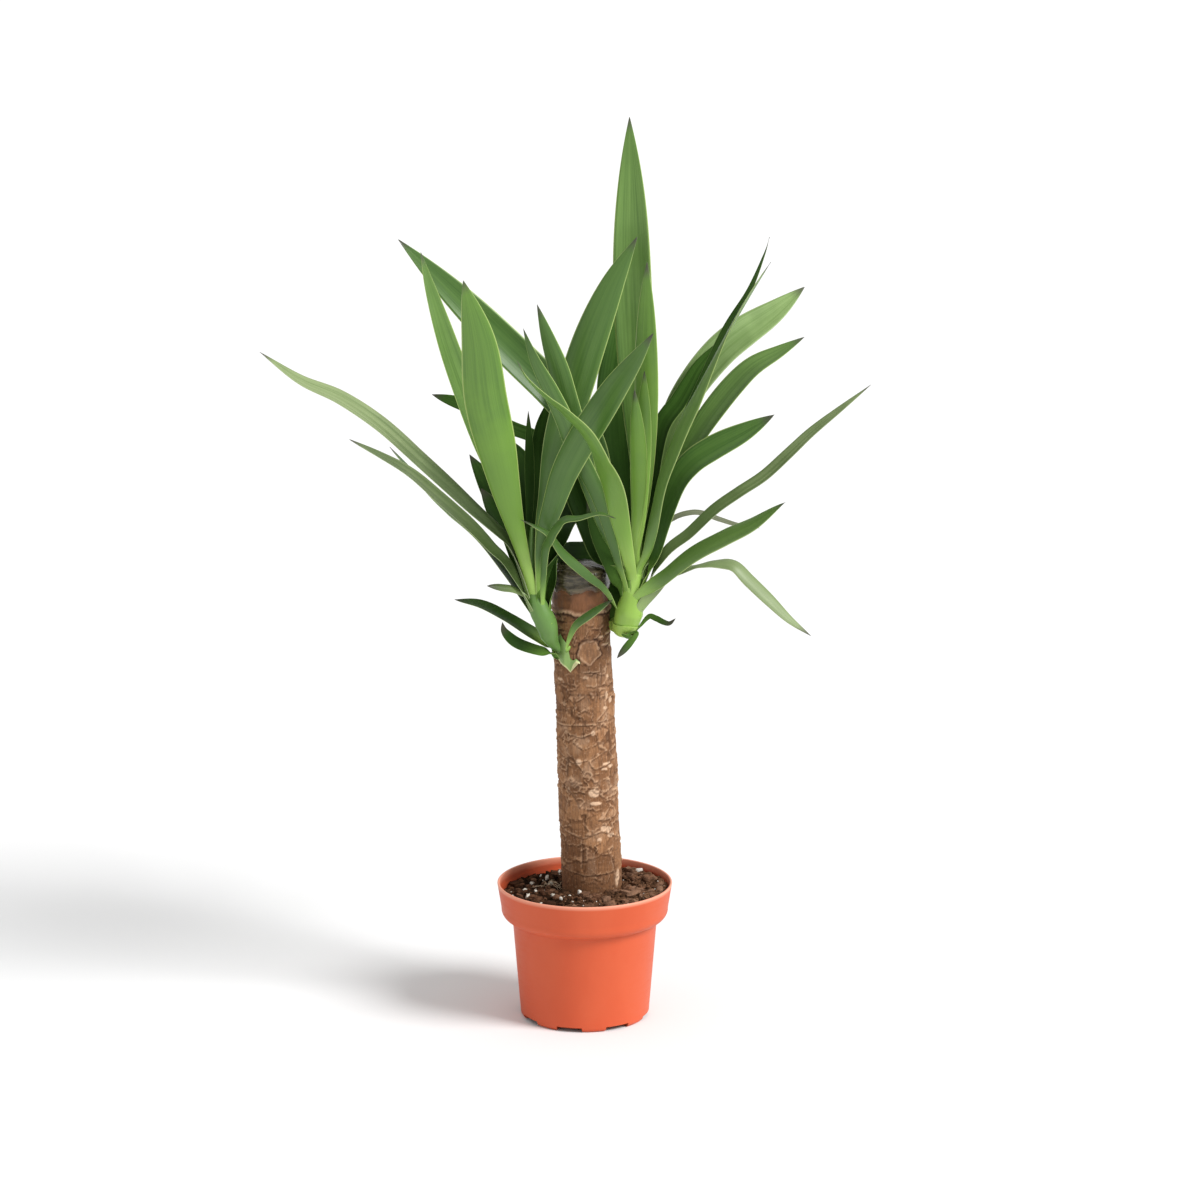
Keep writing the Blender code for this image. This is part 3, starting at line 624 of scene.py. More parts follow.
SIGHT = Sight()


@dataclass(frozen=True)
class StemPlan:
    """A green stem: its route as seen, the depth of each point and its radius there, in millimetres."""

    route: tuple
    depths: tuple
    radii: tuple


class Tone(Enum):
    """How light and how green a leaf looks: partly its own colour, partly painted light and shade."""

    SPRING = "spring"
    MEADOW = "meadow"
    GARDEN = "garden"
    FOREST = "forest"
    MUTED = "muted"
    PALE = "pale"
    LIGHT = "light"
    DRY = "dry"


SPRING, MEADOW, GARDEN, FOREST, MUTED, PALE, LIGHT, DRY = Tone


@dataclass(frozen=True)
class LeafPlan:
    """A blade: where it leaves its stem, and the route, depth, turn and tone of it.

    Attributes:
        rise: Distance up the stem to the root, in millimetres.
        bearing: The side of the stem that the root is on, in degrees from the right towards the back.
        width: Greatest width in millimetres.
        depth: Depth of the tip in millimetres.
        turn: Degrees that the blade is turned from facing the viewpoint, evenly spaced from root to tip.
        route: The midline's points as seen, in millimetres.
        tone: Its colour family, partly its own green and partly painted light and shade.
        neck: Width where it leaves the stem, over the greatest width.
        breadth: How much broader the visible blade is than the planned one.
        fullest: Share of the blade's length at which it is widest.
    """

    rise: float
    bearing: float
    width: float
    depth: float
    turn: tuple
    route: tuple
    tone: Tone = GARDEN
    neck: float = 0.36
    breadth: float = 1.0
    fullest: float = 0.56


# Where the leaves' roots are placed
STEMS: dict[str, StemPlan] = {
    "left": StemPlan(
        route=((-13, 282), (-25, 303), (-35, 320), (-40.5, 337), (-43, 358), (-42, 388)),
        depths=(-2, -15, -17, -16, -15, -14),
        radii=(10.0, 9.0, 8.0, 7.0, 5.8, 1.5),
    ),
    "right": StemPlan(
        route=((12, 296), (32, 307), (37, 326), (39, 346), (40, 366), (41, 386), (42, 406)),
        depths=(4, -8, -9, -8, -7, -6, -5),
        radii=(8.0, 11.0, 10.0, 9.0, 7.0, 4.5, 1.5),
    ),
}

# The stems' visible surfaces
SKINS: dict[str, StemPlan] = {
    "left": StemPlan(
        route=((-19, 289), (-24.5, 294.5), (-28.2, 302), (-30.8, 311), (-35.4, 320.5), (-38.6, 329),
               (-41, 338), (-43, 358), (-42, 388)),
        depths=(-5, -9, -13, -16, -17.5, -17, -16, -15, -14),
        radii=(2.6, 4.4, 7.4, 8.8, 8.3, 7.1, 5.2, 4.2, 1.5),
    ),
    "right": StemPlan(
        route=((18.5, 312.5), (27.4, 310.4), (32.6, 310.2), (35.8, 320), (37.5, 331), (39, 346),
               (40, 366), (41, 386), (42, 406)),
        depths=(13, 5, -5, -9.5, -9.5, -8, -7, -6, -5),
        radii=(3.6, 6.4, 9.9, 11.3, 8.8, 7.0, 5.4, 3.6, 1.5),
    ),
}

# How far up each stem its lowest leaf bases start
LEAF_FOOT: dict[str, float] = {"left": 40.0 * MM, "right": 36.0 * MM}

# Each leaf by its rise, bearing, width, depth, turn, route and tone, which holds painted light and shade too
LEAVES: dict[str, tuple[LeafPlan, ...]] = {
    "left": (
        LeafPlan(74, 257, 35, -110, (0, 0, 0), ((-61, 410), (-70, 450), (-79, 490), (-85, 538), (-97, 585)),
                 SPRING),
        LeafPlan(86, 176, 26, -18, (-40, -45, -50), ((-68, 418), (-84, 458), (-97, 494), (-111, 534),
                 (-124, 578), (-131, 608)), MEADOW),
        LeafPlan(67, 189, 27, -30, (-50, -62, -60), ((-58, 369), (-69, 383), (-100, 411), (-132, 439),
                 (-164, 468), (-196, 490), (-228, 505), (-260, 528)), PALE),
        LeafPlan(50, 203, 22, -78, (-50, -65, -65), ((-60, 355), (-76, 372), (-92, 388), (-116, 409),
                 (-140, 430), (-164, 445), (-188, 458)), MUTED),
        LeafPlan(44, 140, 20, 95, (-60, -75, -75), ((-80, 372), (-108, 398), (-124, 414), (-144, 438),
                 (-156, 452))),
        LeafPlan(81, 142, 22, 9, (-10, -15, -15), ((-57, 376), (-67, 393), (-76, 408), (-83, 419)), FOREST,
                 breadth=0.75),
        LeafPlan(57, 156, 20, 62, (0, -20, -20), ((-60, 386), (-72, 410), (-82, 430), (-92, 446)), FOREST),
        LeafPlan(92, 95, 22, 55, (0, 10, 10), ((-46, 410), (-50, 436), (-60, 458)), FOREST),
        LeafPlan(77, 42, 22, 18, (0, 0, 0), ((-34, 376), (-35, 404), (-34, 434), (-32, 466), (-26, 494)),
                 FOREST, neck=0.6),
        LeafPlan(90, -12, 30, -10, (0, 10, 10), ((-36, 378), (-29, 418), (-21, 458), (-10, 494), (4, 538),
                 (22, 582), (42, 620))),
        LeafPlan(70, -33, 25, -95, (0, 10, 10), ((-33, 378), (-25, 406), (-17, 430), (-5, 454), (10, 478),
                 (26, 502), (42, 524), (55, 543))),
        LeafPlan(56, -55, 10, -118, (20, 35, 60, 65), ((-32, 366), (-28, 378), (-23, 387), (-16, 394),
                 (-4, 396), (12, 399), (25, 395))),
        LeafPlan(64, 215, 7, -40, (-20, -30, -30), ((-56, 338), (-66, 340), (-78, 341)), MUTED),
        LeafPlan(10, 150, 14, 15, (-30, -50, -50), ((-28, 294), (-44, 304), (-64, 316), (-84, 326),
                 (-104, 330)), neck=0.9),
        LeafPlan(14, 215, 10, -22, (-20, -25, -25), ((-44, 291), (-56, 296), (-64, 304), (-66, 312)), FOREST,
                 neck=0.8),
        LeafPlan(18, -50, 8, -45, (10, 30, 45), ((-8, 308), (4, 318), (23, 330))),
        LeafPlan(98, 150, 8, 4, (0, 0, 0), ((-44, 400), (-44, 440), (-45, 481)), FOREST),
        LeafPlan(52, 104, 28, 180, (0, 0, 0), ((-54, 390), (-70, 450), (-76, 514)), FOREST),
        LeafPlan(60, 50, 28, 172, (0, 0, 0), ((-28, 382), (-21, 404), (-11, 440), (0, 496)), FOREST,
                 neck=1.1, breadth=1.3),
        LeafPlan(71, 85, 21, 170, (-30, -30, -30), ((-58, 394), (-78, 458), (-96, 520)), FOREST,
                 breadth=0.85),
    ),
    "right": (
        LeafPlan(70, 255, 26, -150, (0, 15, 70, 78, 80), ((35, 362), (28, 394), (22, 418), (12, 440),
                 (0, 461), (-16, 478), (-32, 492), (-46, 507), (-54, 521)), SPRING),
        LeafPlan(100, 75, 32, 26, (0, 0, 0), ((44, 400), (43, 442), (41, 490), (40, 538), (38, 594),
                 (37, 658), (36, 716)), MEADOW),
        LeafPlan(98, -45, 20, -16, (0, 15, 15), ((47, 400), (49, 442), (49, 490), (49, 538), (50, 600)),
                 SPRING),
        LeafPlan(90, -75, 14, -32, (0, 0, 0), ((45, 390), (46, 426), (47, 466), (48, 513)), SPRING),
        LeafPlan(82, -100, 14, -58, (0, 0, 0), ((41, 385), (43, 415), (43, 450), (40, 498)), SPRING),
        LeafPlan(90, 105, 30, 80, (0, 0, 0), ((35, 386), (30, 418), (25, 458), (24, 498), (28, 538),
                 (33, 576)), FOREST),
        LeafPlan(76, -58, 20, -95, (20, 50, 60, 88, 110), ((51, 370), (60, 418), (69, 446), (78, 470),
                 (88, 491), (99, 514), (116, 547), (132, 574), (149, 600)), MEADOW),
        LeafPlan(80, -30, 12, -36, (50, 60, 60), ((54, 395), (64, 432), (78, 468), (96, 508), (114, 546),
                 (132, 576), (144, 606), (148, 620)), FOREST),
        LeafPlan(79, 52, 27, 80, (20, 25, 25), ((56, 410), (64, 450), (76, 482), (92, 507), (110, 528),
                 (128, 543), (152, 560), (176, 580)), LIGHT, breadth=1.12, fullest=0.7),
        LeafPlan(84, 18, 17, 44, (20, 30, 30), ((52, 410), (61, 464), (76, 488), (84, 502), (94, 519),
                 (115, 542)), FOREST),
        LeafPlan(75, 14, 25, 25, (35, 42, 42), ((54, 366), (67, 410), (78, 440), (90, 460), (104, 480),
                 (120, 500), (136, 516), (156, 528), (176, 540)), MEADOW, fullest=0.66),
        LeafPlan(61, -20, 25, -14, (25, 36, 36), ((55, 360), (63, 392), (73, 421), (86, 438), (104, 450),
                 (128, 463), (152, 478)), fullest=0.68),
        LeafPlan(54, -25, 18, -30, (20, 35, 35), ((64, 366), (84, 383), (104, 402), (124, 416), (144, 429),
                 (164, 447), (182, 464), (204, 482), (229, 502)), PALE, neck=0.8, breadth=0.6),
        LeafPlan(54, -60, 18, -95, (20, 45, 50), ((68, 352), (88, 368), (112, 381), (136, 392), (161, 408)),
                 MEADOW, neck=0.6),
        LeafPlan(42, -50, 14, -45, (0, 20, 45, 85, 50, 40, 35, 35, 35), ((64, 349), (76, 354), (92, 358),
                 (104, 360), (120, 358), (132, 346), (148, 330), (164, 314), (181, 301)), PALE, neck=0.7),
        LeafPlan(50, 30, 6, 120, (30, 40, 40), ((60, 387), (70, 394), (80, 398), (92, 399), (108, 394),
                 (122, 390), (140, 387)), DRY),
        LeafPlan(44, 78, 22, 170, (30, 30, 30), ((56, 378), (62, 410), (74, 440), (92, 458)), FOREST),
        LeafPlan(31, -25, 5, -22, (0, 0, 0), ((51, 316), (57, 315), (63, 312), (68, 311), (73, 315)),
                 FOREST),
        LeafPlan(30, -60, 6, -34, (0, 0, 0), ((42, 303), (36, 295), (26, 283)), FOREST),
        LeafPlan(41, 196, 9, -43, (0, -10, -45, -60), ((16, 338), (4, 348), (-16, 366), (-28, 382),
                 (-40, 389), (-51, 394))),
        LeafPlan(66, 140, 30, 50, (0, 0, 0), ((22, 362), (9, 394), (-1, 418), (-8, 438), (-15, 458)), FOREST,
                 neck=1.0, breadth=1.12),
        LeafPlan(54, 185, 12, -8, (0, 0, 0), ((22, 354), (12, 378), (2, 410)), FOREST, neck=0.8),
        LeafPlan(72, 172, 30, 24, (0, -10, -10), ((27, 378), (18, 410), (4, 458), (-24, 494), (-60, 530),
                 (-100, 570), (-149, 618))),
        LeafPlan(88, 212, 20, -50, (0, 10, 10), ((22, 370), (8, 410), (-4, 450), (-15, 490), (-21, 514),
                 (-29, 538), (-38, 566))),
        LeafPlan(62, 225, 16, -66, (10, 20, 20), ((27, 358), (12, 410), (-8, 450), (-17, 474), (-28, 498),
                 (-40, 522), (-49, 547))),
        LeafPlan(54, 150, 24, 120, (0, -15, -15), ((20, 362), (4, 410), (-20, 446), (-40, 460), (-60, 468),
                 (-92, 484), (-122, 494)), FOREST, neck=0.7, breadth=0.5, fullest=0.85),
        LeafPlan(72, 88, 30, 120, (0, 0, 0), ((43, 410), (41, 474), (40, 546)), FOREST),
        LeafPlan(64, 52, 28, 150, (20, 20, 20), ((60, 426), (84, 490), (108, 522)), FOREST),
        LeafPlan(58, 108, 28, 175, (0, 0, 0), ((24, 426), (22, 474), (28, 514)), FOREST),
    ),
}

# Two dark leaves that fill gaps between the stems which lie in deep shade; their FOREST tone is in part
# painted shade
OLD_BLADES: dict[str, LeafPlan] = {
    "left": LeafPlan(47, 28, 19, 95, (0, 0, 0), ((-30, 364), (-14, 367), (2, 368), (16, 374), (26, 384)),
                     FOREST, neck=0.9),
    "right": LeafPlan(26, 110, 17, 70, (0, 0, 0), ((24, 324), (20, 342), (12, 362), (2, 384)),
                      FOREST, neck=1.0),
}


@dataclass(frozen=True)
class LeafFinish:
    """The colours of a leaf, in display values, and its gloss."""

    blade: Shown
    streak: Shown
    base: Shown = (168, 205, 96)
    margin: Shown = (178, 200, 118)
    dry: Shown = (74, 70, 62)
    # Colour towards the root and how far it reaches: painted shade on most tones, lime on SPRING
    inner: Shown = (58, 92, 34)
    inner_reach: float = 0.1
    base_reach: float = 0.03
    margin_start: float = 0.93
    sheen: float = 0.38
    specular: float = 0.45
    relief: float = 0.12 * MM

    def material(self, name: str, group: Tree) -> Material:
        """The finish as a material that uses the blade pattern."""
        return dressed(name, group, Gloss(specular=self.specular, relief=self.relief), {
            "Across": "blade_place.x", "Reach": "blade_place.y", "Tip": "blade_place.z", "Under": "under",
            "Blade": self.blade, "Streak": self.streak, "Base": self.base,
            "Margin": self.margin, "Dry": self.dry, "Inner": self.inner,
            "Inner Reach": self.inner_reach, "Base Reach": self.base_reach,
            "Margin Start": self.margin_start, "Sheen": self.sheen,
        })


# The tones mix the leaves' own greens with painted light and shade: the dark ones, FOREST most, are in part
# painted shade for leaves at the back and middle, and PALE and LIGHT in part a painted sheen
LEAF_FINISHES: dict[Tone, LeafFinish] = {
    SPRING: LeafFinish((74, 112, 40), (106, 146, 58), base=(176, 213, 104), base_reach=0.055,
                       inner=(126, 168, 56), inner_reach=0.13),
    MEADOW: LeafFinish((80, 114, 48), (112, 146, 72), base=(150, 190, 84), inner=(78, 112, 42)),
    GARDEN: LeafFinish((64, 100, 38), (90, 126, 56), base=(150, 190, 84)),
    FOREST: LeafFinish((46, 78, 25), (70, 104, 42), base=(92, 128, 52), margin=(130, 152, 88),
                       inner=(32, 56, 16), inner_reach=0.14, sheen=0.5, specular=0.06),
    MUTED: LeafFinish((86, 104, 60), (116, 132, 86), base=(132, 160, 84), margin=(164, 178, 130),
                      inner=(70, 92, 44), inner_reach=0.13),
    PALE: LeafFinish((116, 136, 84), (158, 174, 124), base=(132, 164, 84), margin=(182, 190, 152),
                     inner=(74, 98, 44), inner_reach=0.19, sheen=0.45),
    LIGHT: LeafFinish((122, 152, 84), (156, 184, 118), base=(132, 164, 84), margin=(184, 198, 152),
                      inner=(78, 108, 44), inner_reach=0.16, sheen=0.45),
    DRY: LeafFinish((86, 90, 70), (120, 126, 100), base=(96, 110, 66), margin=(136, 138, 112),
                    inner=(84, 92, 60), inner_reach=0.1, sheen=0.55, specular=0.2),
}

# A margin start above 1 means that the finish has no pale margins
STEM_FINISHES: dict[str, LeafFinish] = {
    "left": LeafFinish((96, 134, 64), (116, 152, 82), base=(104, 142, 72), inner=(96, 134, 64),
                       margin_start=2.0),
    "right": LeafFinish((136, 174, 72), (158, 192, 90), base=(160, 194, 90), inner=(144, 182, 76),
                        margin_start=2.0),
}
OLD_BASE_FINISHES: dict[str, LeafFinish] = {
    "left": LeafFinish((126, 160, 88), (174, 200, 128), base=(212, 210, 154), base_reach=0.002,
                       inner=(132, 164, 92), margin_start=1.5, sheen=0.45),
    "right": LeafFinish((142, 178, 76), (162, 196, 92), base=(222, 228, 152), base_reach=0.004,
                        inner=(164, 198, 88), inner_reach=0.03, margin_start=1.5, sheen=0.45),
}


def both_faces(outer: Array, inner: Array) -> Array:
    """Rows that run over the outer face of a shell and back over the inner one."""
    return np.concatenate((outer, inner[:, ::-1]), axis=1)


def green_surface(points: Array, across: Array, reach: Array, from_tip: float = 50.0 * MM) -> Surface:
    """A surface for the blade pattern that has no underside and lies nowhere near a tip.

    Args:
        points: The grid of points.
        across: Where each point is between the margins, from -1 to 1.
        reach: How far each point is from the base, in metres.
        from_tip: The distance to the tip, in metres.
    """
    values = {"blade_place": stacked(across, reach, from_tip), "under": np.zeros(reach.shape)}
    return Surface(points, values)


@dataclass
class Stem:
    """A green shoot's stem: a tapering tube along its route.

    Attributes:
        plan: The route and the radii that the leaves' roots are placed by.
        skin: The route and radii of the visible surface.
        leaf_foot: How far up it the lowest leaf bases start, in metres.
        scar_spacing: Distance in metres between the scars of old leaf bases.
        scar_swell: How much it swells at each scar, over its radius.
        rib_swell: How high the ribs along it stand, over its radius.
    """

    plan: StemPlan
    skin: StemPlan
    leaf_foot: float
    rows: int = 120
    sides: int = 64
    scar_spacing: float = 11.0 * MM
    scar_swell: float = 0.012
    rib_swell: float = 0.006
    ribs: int = 9

    @staticmethod
    def control(plan: StemPlan) -> Array:
        """The control points of a plan's midline."""
        return SIGHT.place(*np.array(plan.route, dtype=float).T, np.array(plan.depths))

    @property
    def skin_length(self) -> float:
        """The length of the visible surface's midline."""
        return arc_lengths(self.control(self.skin))[-1]

    def at(self, rise: float) -> tuple[Array, Array, float]:
        """The midline's point, direction and radius at a distance in metres up the stem."""
        points = self.control(self.plan)
        length = arc_lengths(points)
        place, along = smooth_route(points, [rise / length[-1]])
        return place[0], along[0], float(np.interp(rise, length, np.array(self.plan.radii) * MM))

    def frame_along(self, fractions: Array) -> tuple[Array, Array, Array, Array]:
        """Places, rightward and backward directions, and radii at fractions of the skin's length."""
        points = self.control(self.skin)
        length = arc_lengths(points)
        places, along = smooth_route(points, fractions)
        right = unit(np.array([1.0, 0.0, 0.0]) - along * along[:, :1])
        radii = np.interp(fractions * length[-1], length, np.array(self.skin.radii) * MM)
        return places, right, np.cross(along, right), radii

    def surface(self) -> Surface:
        """The stem: each ring is a circle with faint ribs, and its radius swells towards each scar."""
        fractions = np.linspace(0.0, 1.0, self.rows)
        places, right, back, radii = self.frame_along(fractions)
        angle = circle(self.sides)
        rise = fractions[:, None] * self.skin_length * np.ones_like(angle)
        phase = rise / self.scar_spacing + angle[None, :] / math.tau
        ribbing = self.rib_swell * np.sin(self.ribs * angle)[None, :]
        swell = self.scar_swell * np.sin(math.tau * phase) + ribbing
        radius = radii[:, None] * (1.0 + swell)
        cos, sin = np.cos(angle)[None, :, None], np.sin(angle)[None, :, None]
        spoke = right[:, None, :] * cos + back[:, None, :] * sin
        points = places[:, None, :] + spoke * radius[..., None]
        return green_surface(points, angle / math.pi - 1.0, rise)


@dataclass
class Blade:
    """One leaf: a thin channelled blade from its root on the stem to its point. Lengths are in metres.

    Attributes:
        plan: The leaf's own sizes.
        stem: The stem that carries it.
        seed: Which small waves its margins have.
        stations: How many cross-sections it has.
        lanes: Points across one face.
        clearance: How far the root stands off the stem.
        narrow_neck: Neck over greatest width up to which a neck counts as narrow.
        neck_to_stem: The most that a narrow neck measures, over the stem's radius.
        sheath: The greatest length of the part that hugs the stem.
        full_clasp: Length of that part from which it clasps the stem fully.
        stem_share: Radius that the sheath lies at, over the stem's own.
        sheath_lift: How far the lowest leaves' sheaths are lifted off the stem.
        lift_fades: Distance up the stem at which that lift has faded to nothing.
        foot_sunk: How far the sheath's foot is sunk in the stem.
        clasp: Width of the sheath's foot over the stem's radius.
        depth_power: How late along the blade its depth changes.
        tip_taper: Share of the width that is gone at the tip.
        tip_power: How late the taper to the tip comes.
        curl: The blade's width over the radius of its cross-section.
        root_clasp: Share of the blade over which it turns from the stem's curve to its own.
        opened: Share of the blade over which its cross-section opens from the stem's curve.
        station_power: How much closer the cross-sections are towards the tip.
        lane_power: How much closer the points across are towards the margins.
        wave: Height of the waves along its margins.
        wave_length: Distance along a margin in which its wave turns by one radian.
    """

    plan: LeafPlan
    stem: Stem
    seed: int
    stations: int = 76
    lanes: int = 11
    thickness: float = 0.8 * MM
    clearance: float = 0.85 * MM
    narrow_neck: float = 0.5
    neck_to_stem: float = 1.7
    sheath: float = 46.0 * MM
    least_sheath: float = 4.0 * MM
    full_clasp: float = 20.0 * MM
    stem_share: float = 0.82
    sheath_lift: float = 1.6 * MM
    lift_fades: float = 100 * MM
    foot_sunk: float = 0.2 * MM
    clasp: float = 2.9
    depth_power: float = 1.2
    tip_taper: float = 0.985
    tip_power: float = 2.3
    curl: float = 0.96
    root_clasp: float = 0.22
    opened: float = 0.3
    station_power: float = 1.25
    lane_power: float = 0.85
    wave: float = 0.35 * MM
    wave_length: float = 23 * MM

    def on_stem(self, rise: float, stand_off: float) -> tuple[Array, Array, float]:
        """A place beside the stem on the leaf's side, the outward direction and the stem's radius."""
        place, along, radius = self.stem.at(max(rise, 0.0))
        bearing = math.radians(self.plan.bearing)
        outward = np.array([math.cos(bearing), math.sin(bearing), 0.0])
        outward = unit(outward - along * outward.dot(along))
        radius *= self.stem_share
        return place + outward * (radius + stand_off), outward, radius

    def control(self) -> tuple[Array, float]:
        """The midline's control points, and the length of its first part, the sheath that hugs the stem."""
        rise = self.plan.rise * MM
        lift = self.sheath_lift * max(0.0, 1.0 - rise / self.lift_fades)
        foot_rise = max(rise - self.sheath, min(self.stem.leaf_foot, rise - self.least_sheath))
        root, _, _ = self.on_stem(rise, self.clearance)
        middle, _, _ = self.on_stem((rise + foot_rise) / 2, 0.35 * self.clearance + lift)
        foot, _, _ = self.on_stem(foot_rise, 0.5 * lift - self.foot_sunk)
        seen = np.array(self.plan.route, dtype=float)
        share = arc_lengths(np.vstack((2 * seen[0] - seen[1], seen)))[1:]
        share = (share / share[-1]) ** self.depth_power
        depths = root[1] / MM + (self.plan.depth - root[1] / MM) * share
        points = SIGHT.place(seen[:, 0], seen[:, 1], depths)
        hugging = float(np.linalg.norm(root - middle) + np.linalg.norm(middle - foot))
        return np.vstack((foot, middle, root, points)), hugging

    def widths(self, radius: float, blade: Array, hugging: float) -> Array:
        """Width along the leaf, by the share of the blade's length, which runs down from 0 on the sheath.

        The sheath is widest at its foot. The blade swells from the neck to its fullest place by the cubic
        ease, and from there it tapers to the tip by a power of the distance.
        """
        plan = self.plan
        full = plan.width * plan.breadth * MM
        neck = plan.neck * full
        if plan.neck <= self.narrow_neck:
            neck = min(neck, self.neck_to_stem * radius)
        rising = smoothstep(0.0, plan.fullest, blade)
        falling = np.clip((blade - plan.fullest) / (1 - plan.fullest), 0.0, 1.0)
        down = np.clip(blade / blade[0], 0.0, 1.0)
        clasping = max(self.clasp * radius - neck, 0.0) * smoothstep(0.0, 0.8, down)
        clasping = clasping * min(1.0, hugging / self.full_clasp)
        return neck + clasping + (full - neck) * rising - full * self.tip_taper * falling**self.tip_power

    def directions(self, points: Array, tangents: Array, blade: Array, outward: Array) -> tuple[Array, Array]:
        """Directions across the blade and out of its upper face.

        Across is square to the sight line, turned about the midline by the plan's angles, and eased near
        the root towards the stem's own curve there.
        """
        square = unit(np.cross(tangents, SIGHT.eye * MM - points))
        toward = np.cross(square, tangents)
        turn = np.interp(blade, np.linspace(0.0, 1.0, len(self.plan.turn)), self.plan.turn)
        turn = np.radians(turn)[:, None]
        across = np.cos(turn) * square + np.sin(turn) * toward
        root = int(np.searchsorted(blade, 0.0))
        at_root = unit(np.cross(tangents, outward))
        at_root = at_root * (1.0 if at_root[root].dot(across[root]) >= 0 else -1.0)
        ease = smoothstep(0.0, self.root_clasp, blade)[:, None]
        across = at_root * (1 - ease) + across * ease
        across = unit(across - tangents * np.sum(across * tangents, axis=1, keepdims=True))
        upper = np.cross(across, tangents)
        return across, -upper if upper[root].dot(outward) > 0 else upper

    def surface(self) -> Surface:
        """The leaf as rings: its upper face from margin to margin and its lower face back again.

        Each cross-section is an arc. On the sheath its radius is the stem's own, and along the blade it
        opens to an arc whose radius is near the leaf's width. A slow wave runs along each margin.
        """
        control, hugging = self.control()
        along = 1 - (1 - np.linspace(0.0, 1.0, self.stations)) ** self.station_power
        points, tangents = smooth_route(control, along)
        length = arc_lengths(points)
        blade = (length - hugging) / (length[-1] - hugging)
        _, outward, radius = self.on_stem(self.plan.rise * MM, 0.0)
        across, upper = self.directions(points, tangents, blade, outward)
        half = self.widths(radius, blade, hugging)[:, None] / 2
        lane = np.linspace(-1.0, 1.0, self.lanes)
        lane = np.sign(lane) * np.abs(lane) ** self.lane_power
        share = np.concatenate((lane, lane[::-1]))[None, :]
        face = np.repeat((1.0, -1.0), self.lanes)[None, :]
        phase = np.random.default_rng(self.seed).uniform(0, math.tau, 2)
        ripple = np.sin(length[:, None] / self.wave_length + np.where(share < 0, phase[0], phase[1]))
        open_up = smoothstep(0.0, self.opened, blade)[:, None]
        bend = (1 - open_up) / (radius + self.clearance) + open_up * self.curl / (self.plan.width * MM)
        angle = bend * half * share
        side, lift = np.sin(angle) / bend, (1 - np.cos(angle)) / bend
        lift = lift + self.wave * ripple * np.abs(share) ** 2 * smoothstep(0.1, 0.4, blade)[:, None]
        thinning = (1 - 0.6 * np.abs(share) ** 3) * np.clip(half / (2 * MM), 0.25, 1.0)
        lift = lift + face * self.thickness / 2 * thinning
        ring = points[:, None, :] + across[:, None, :] * side[..., None] + upper[:, None, :] * lift[..., None]
        reach = np.broadcast_to(length[:, None] - hugging, side.shape)
        under = np.broadcast_to((face < 0).astype(float), side.shape)
        values = {"blade_place": stacked(share, reach, reach[-1] - reach), "under": under}
        return Surface(ring, values, uv=stacked((share + 1) / 2, reach / reach[-1]))


@dataclass
class Sheath:
    """A torn old leaf base that wraps part of a stem. Lengths are in metres.

    Attributes:
        stem: The stem that it wraps.
        rises: How far up the stem its lower and upper edges run.
        bearings: Where it starts and ends round the stem, in degrees from the right towards the back.
        flare: How far its lower and upper edges stand off the stem.
        teeth: Depth of the tears in its lower edge.
        seed: Which tears it has.
        fluting: Depth of the faint flutes that run up it.
    """

    stem: Stem
    rises: tuple[float, float] = (3 * MM, 30 * MM)
    bearings: tuple[float, float] = (150.0, 420.0)
    flare: tuple[float, float] = (0.9 * MM, 0.1 * MM)
    teeth: float = 1.0 * MM
    seed: int = 23
    rows: int = 40
    columns: int = 60
    thickness: float = 0.7 * MM
    fluting: float = 0.12 * MM

    def surface(self) -> Surface:
        """A shell that follows the stem's rings and stands further off them towards its torn lower edge."""
        bearing = np.radians(np.linspace(*self.bearings, self.columns))
        t = np.linspace(0.0, 1.0, self.rows)[:, None]
        noise = value_noise(stacked(bearing * 2.6, 0.0, 0.0), self.seed)
        zigzag = np.abs((bearing * 1.35 + 0.35 * noise) % 1.0 - 0.5) * 2.0
        tear = self.teeth * (0.65 * zigzag + 0.35 * noise)[None, :]
        side = np.linspace(-1.0, 1.0, self.columns)[None, :]
        low = self.rises[0] + tear
        high = self.rises[1] - 0.45 * (self.rises[1] - self.rises[0]) * np.abs(side) ** 2
        rise = low + (high - low) * t
        share = np.clip(rise / self.stem.skin_length, 0.0, 1.0).ravel()
        places, right, back, radii = self.stem.frame_along(share)
        angle = np.broadcast_to(bearing[None, :], rise.shape).ravel()[:, None]
        spoke = right * np.cos(angle) + back * np.sin(angle)
        flutes = self.fluting * np.sin(5 * bearing)[None, :]
        flare = self.flare[0] + (self.flare[1] - self.flare[0]) * t + flutes
        outer, inner = (
            (places + spoke * (radii + flare.ravel() + offset)[:, None]).reshape(self.rows, self.columns, 3)
            for offset in (self.thickness, 0.0)
        )
        edge = both_faces(rise - low, rise - low)
        return green_surface(both_faces(outer, inner), both_faces(side, 0.0 * side), edge)


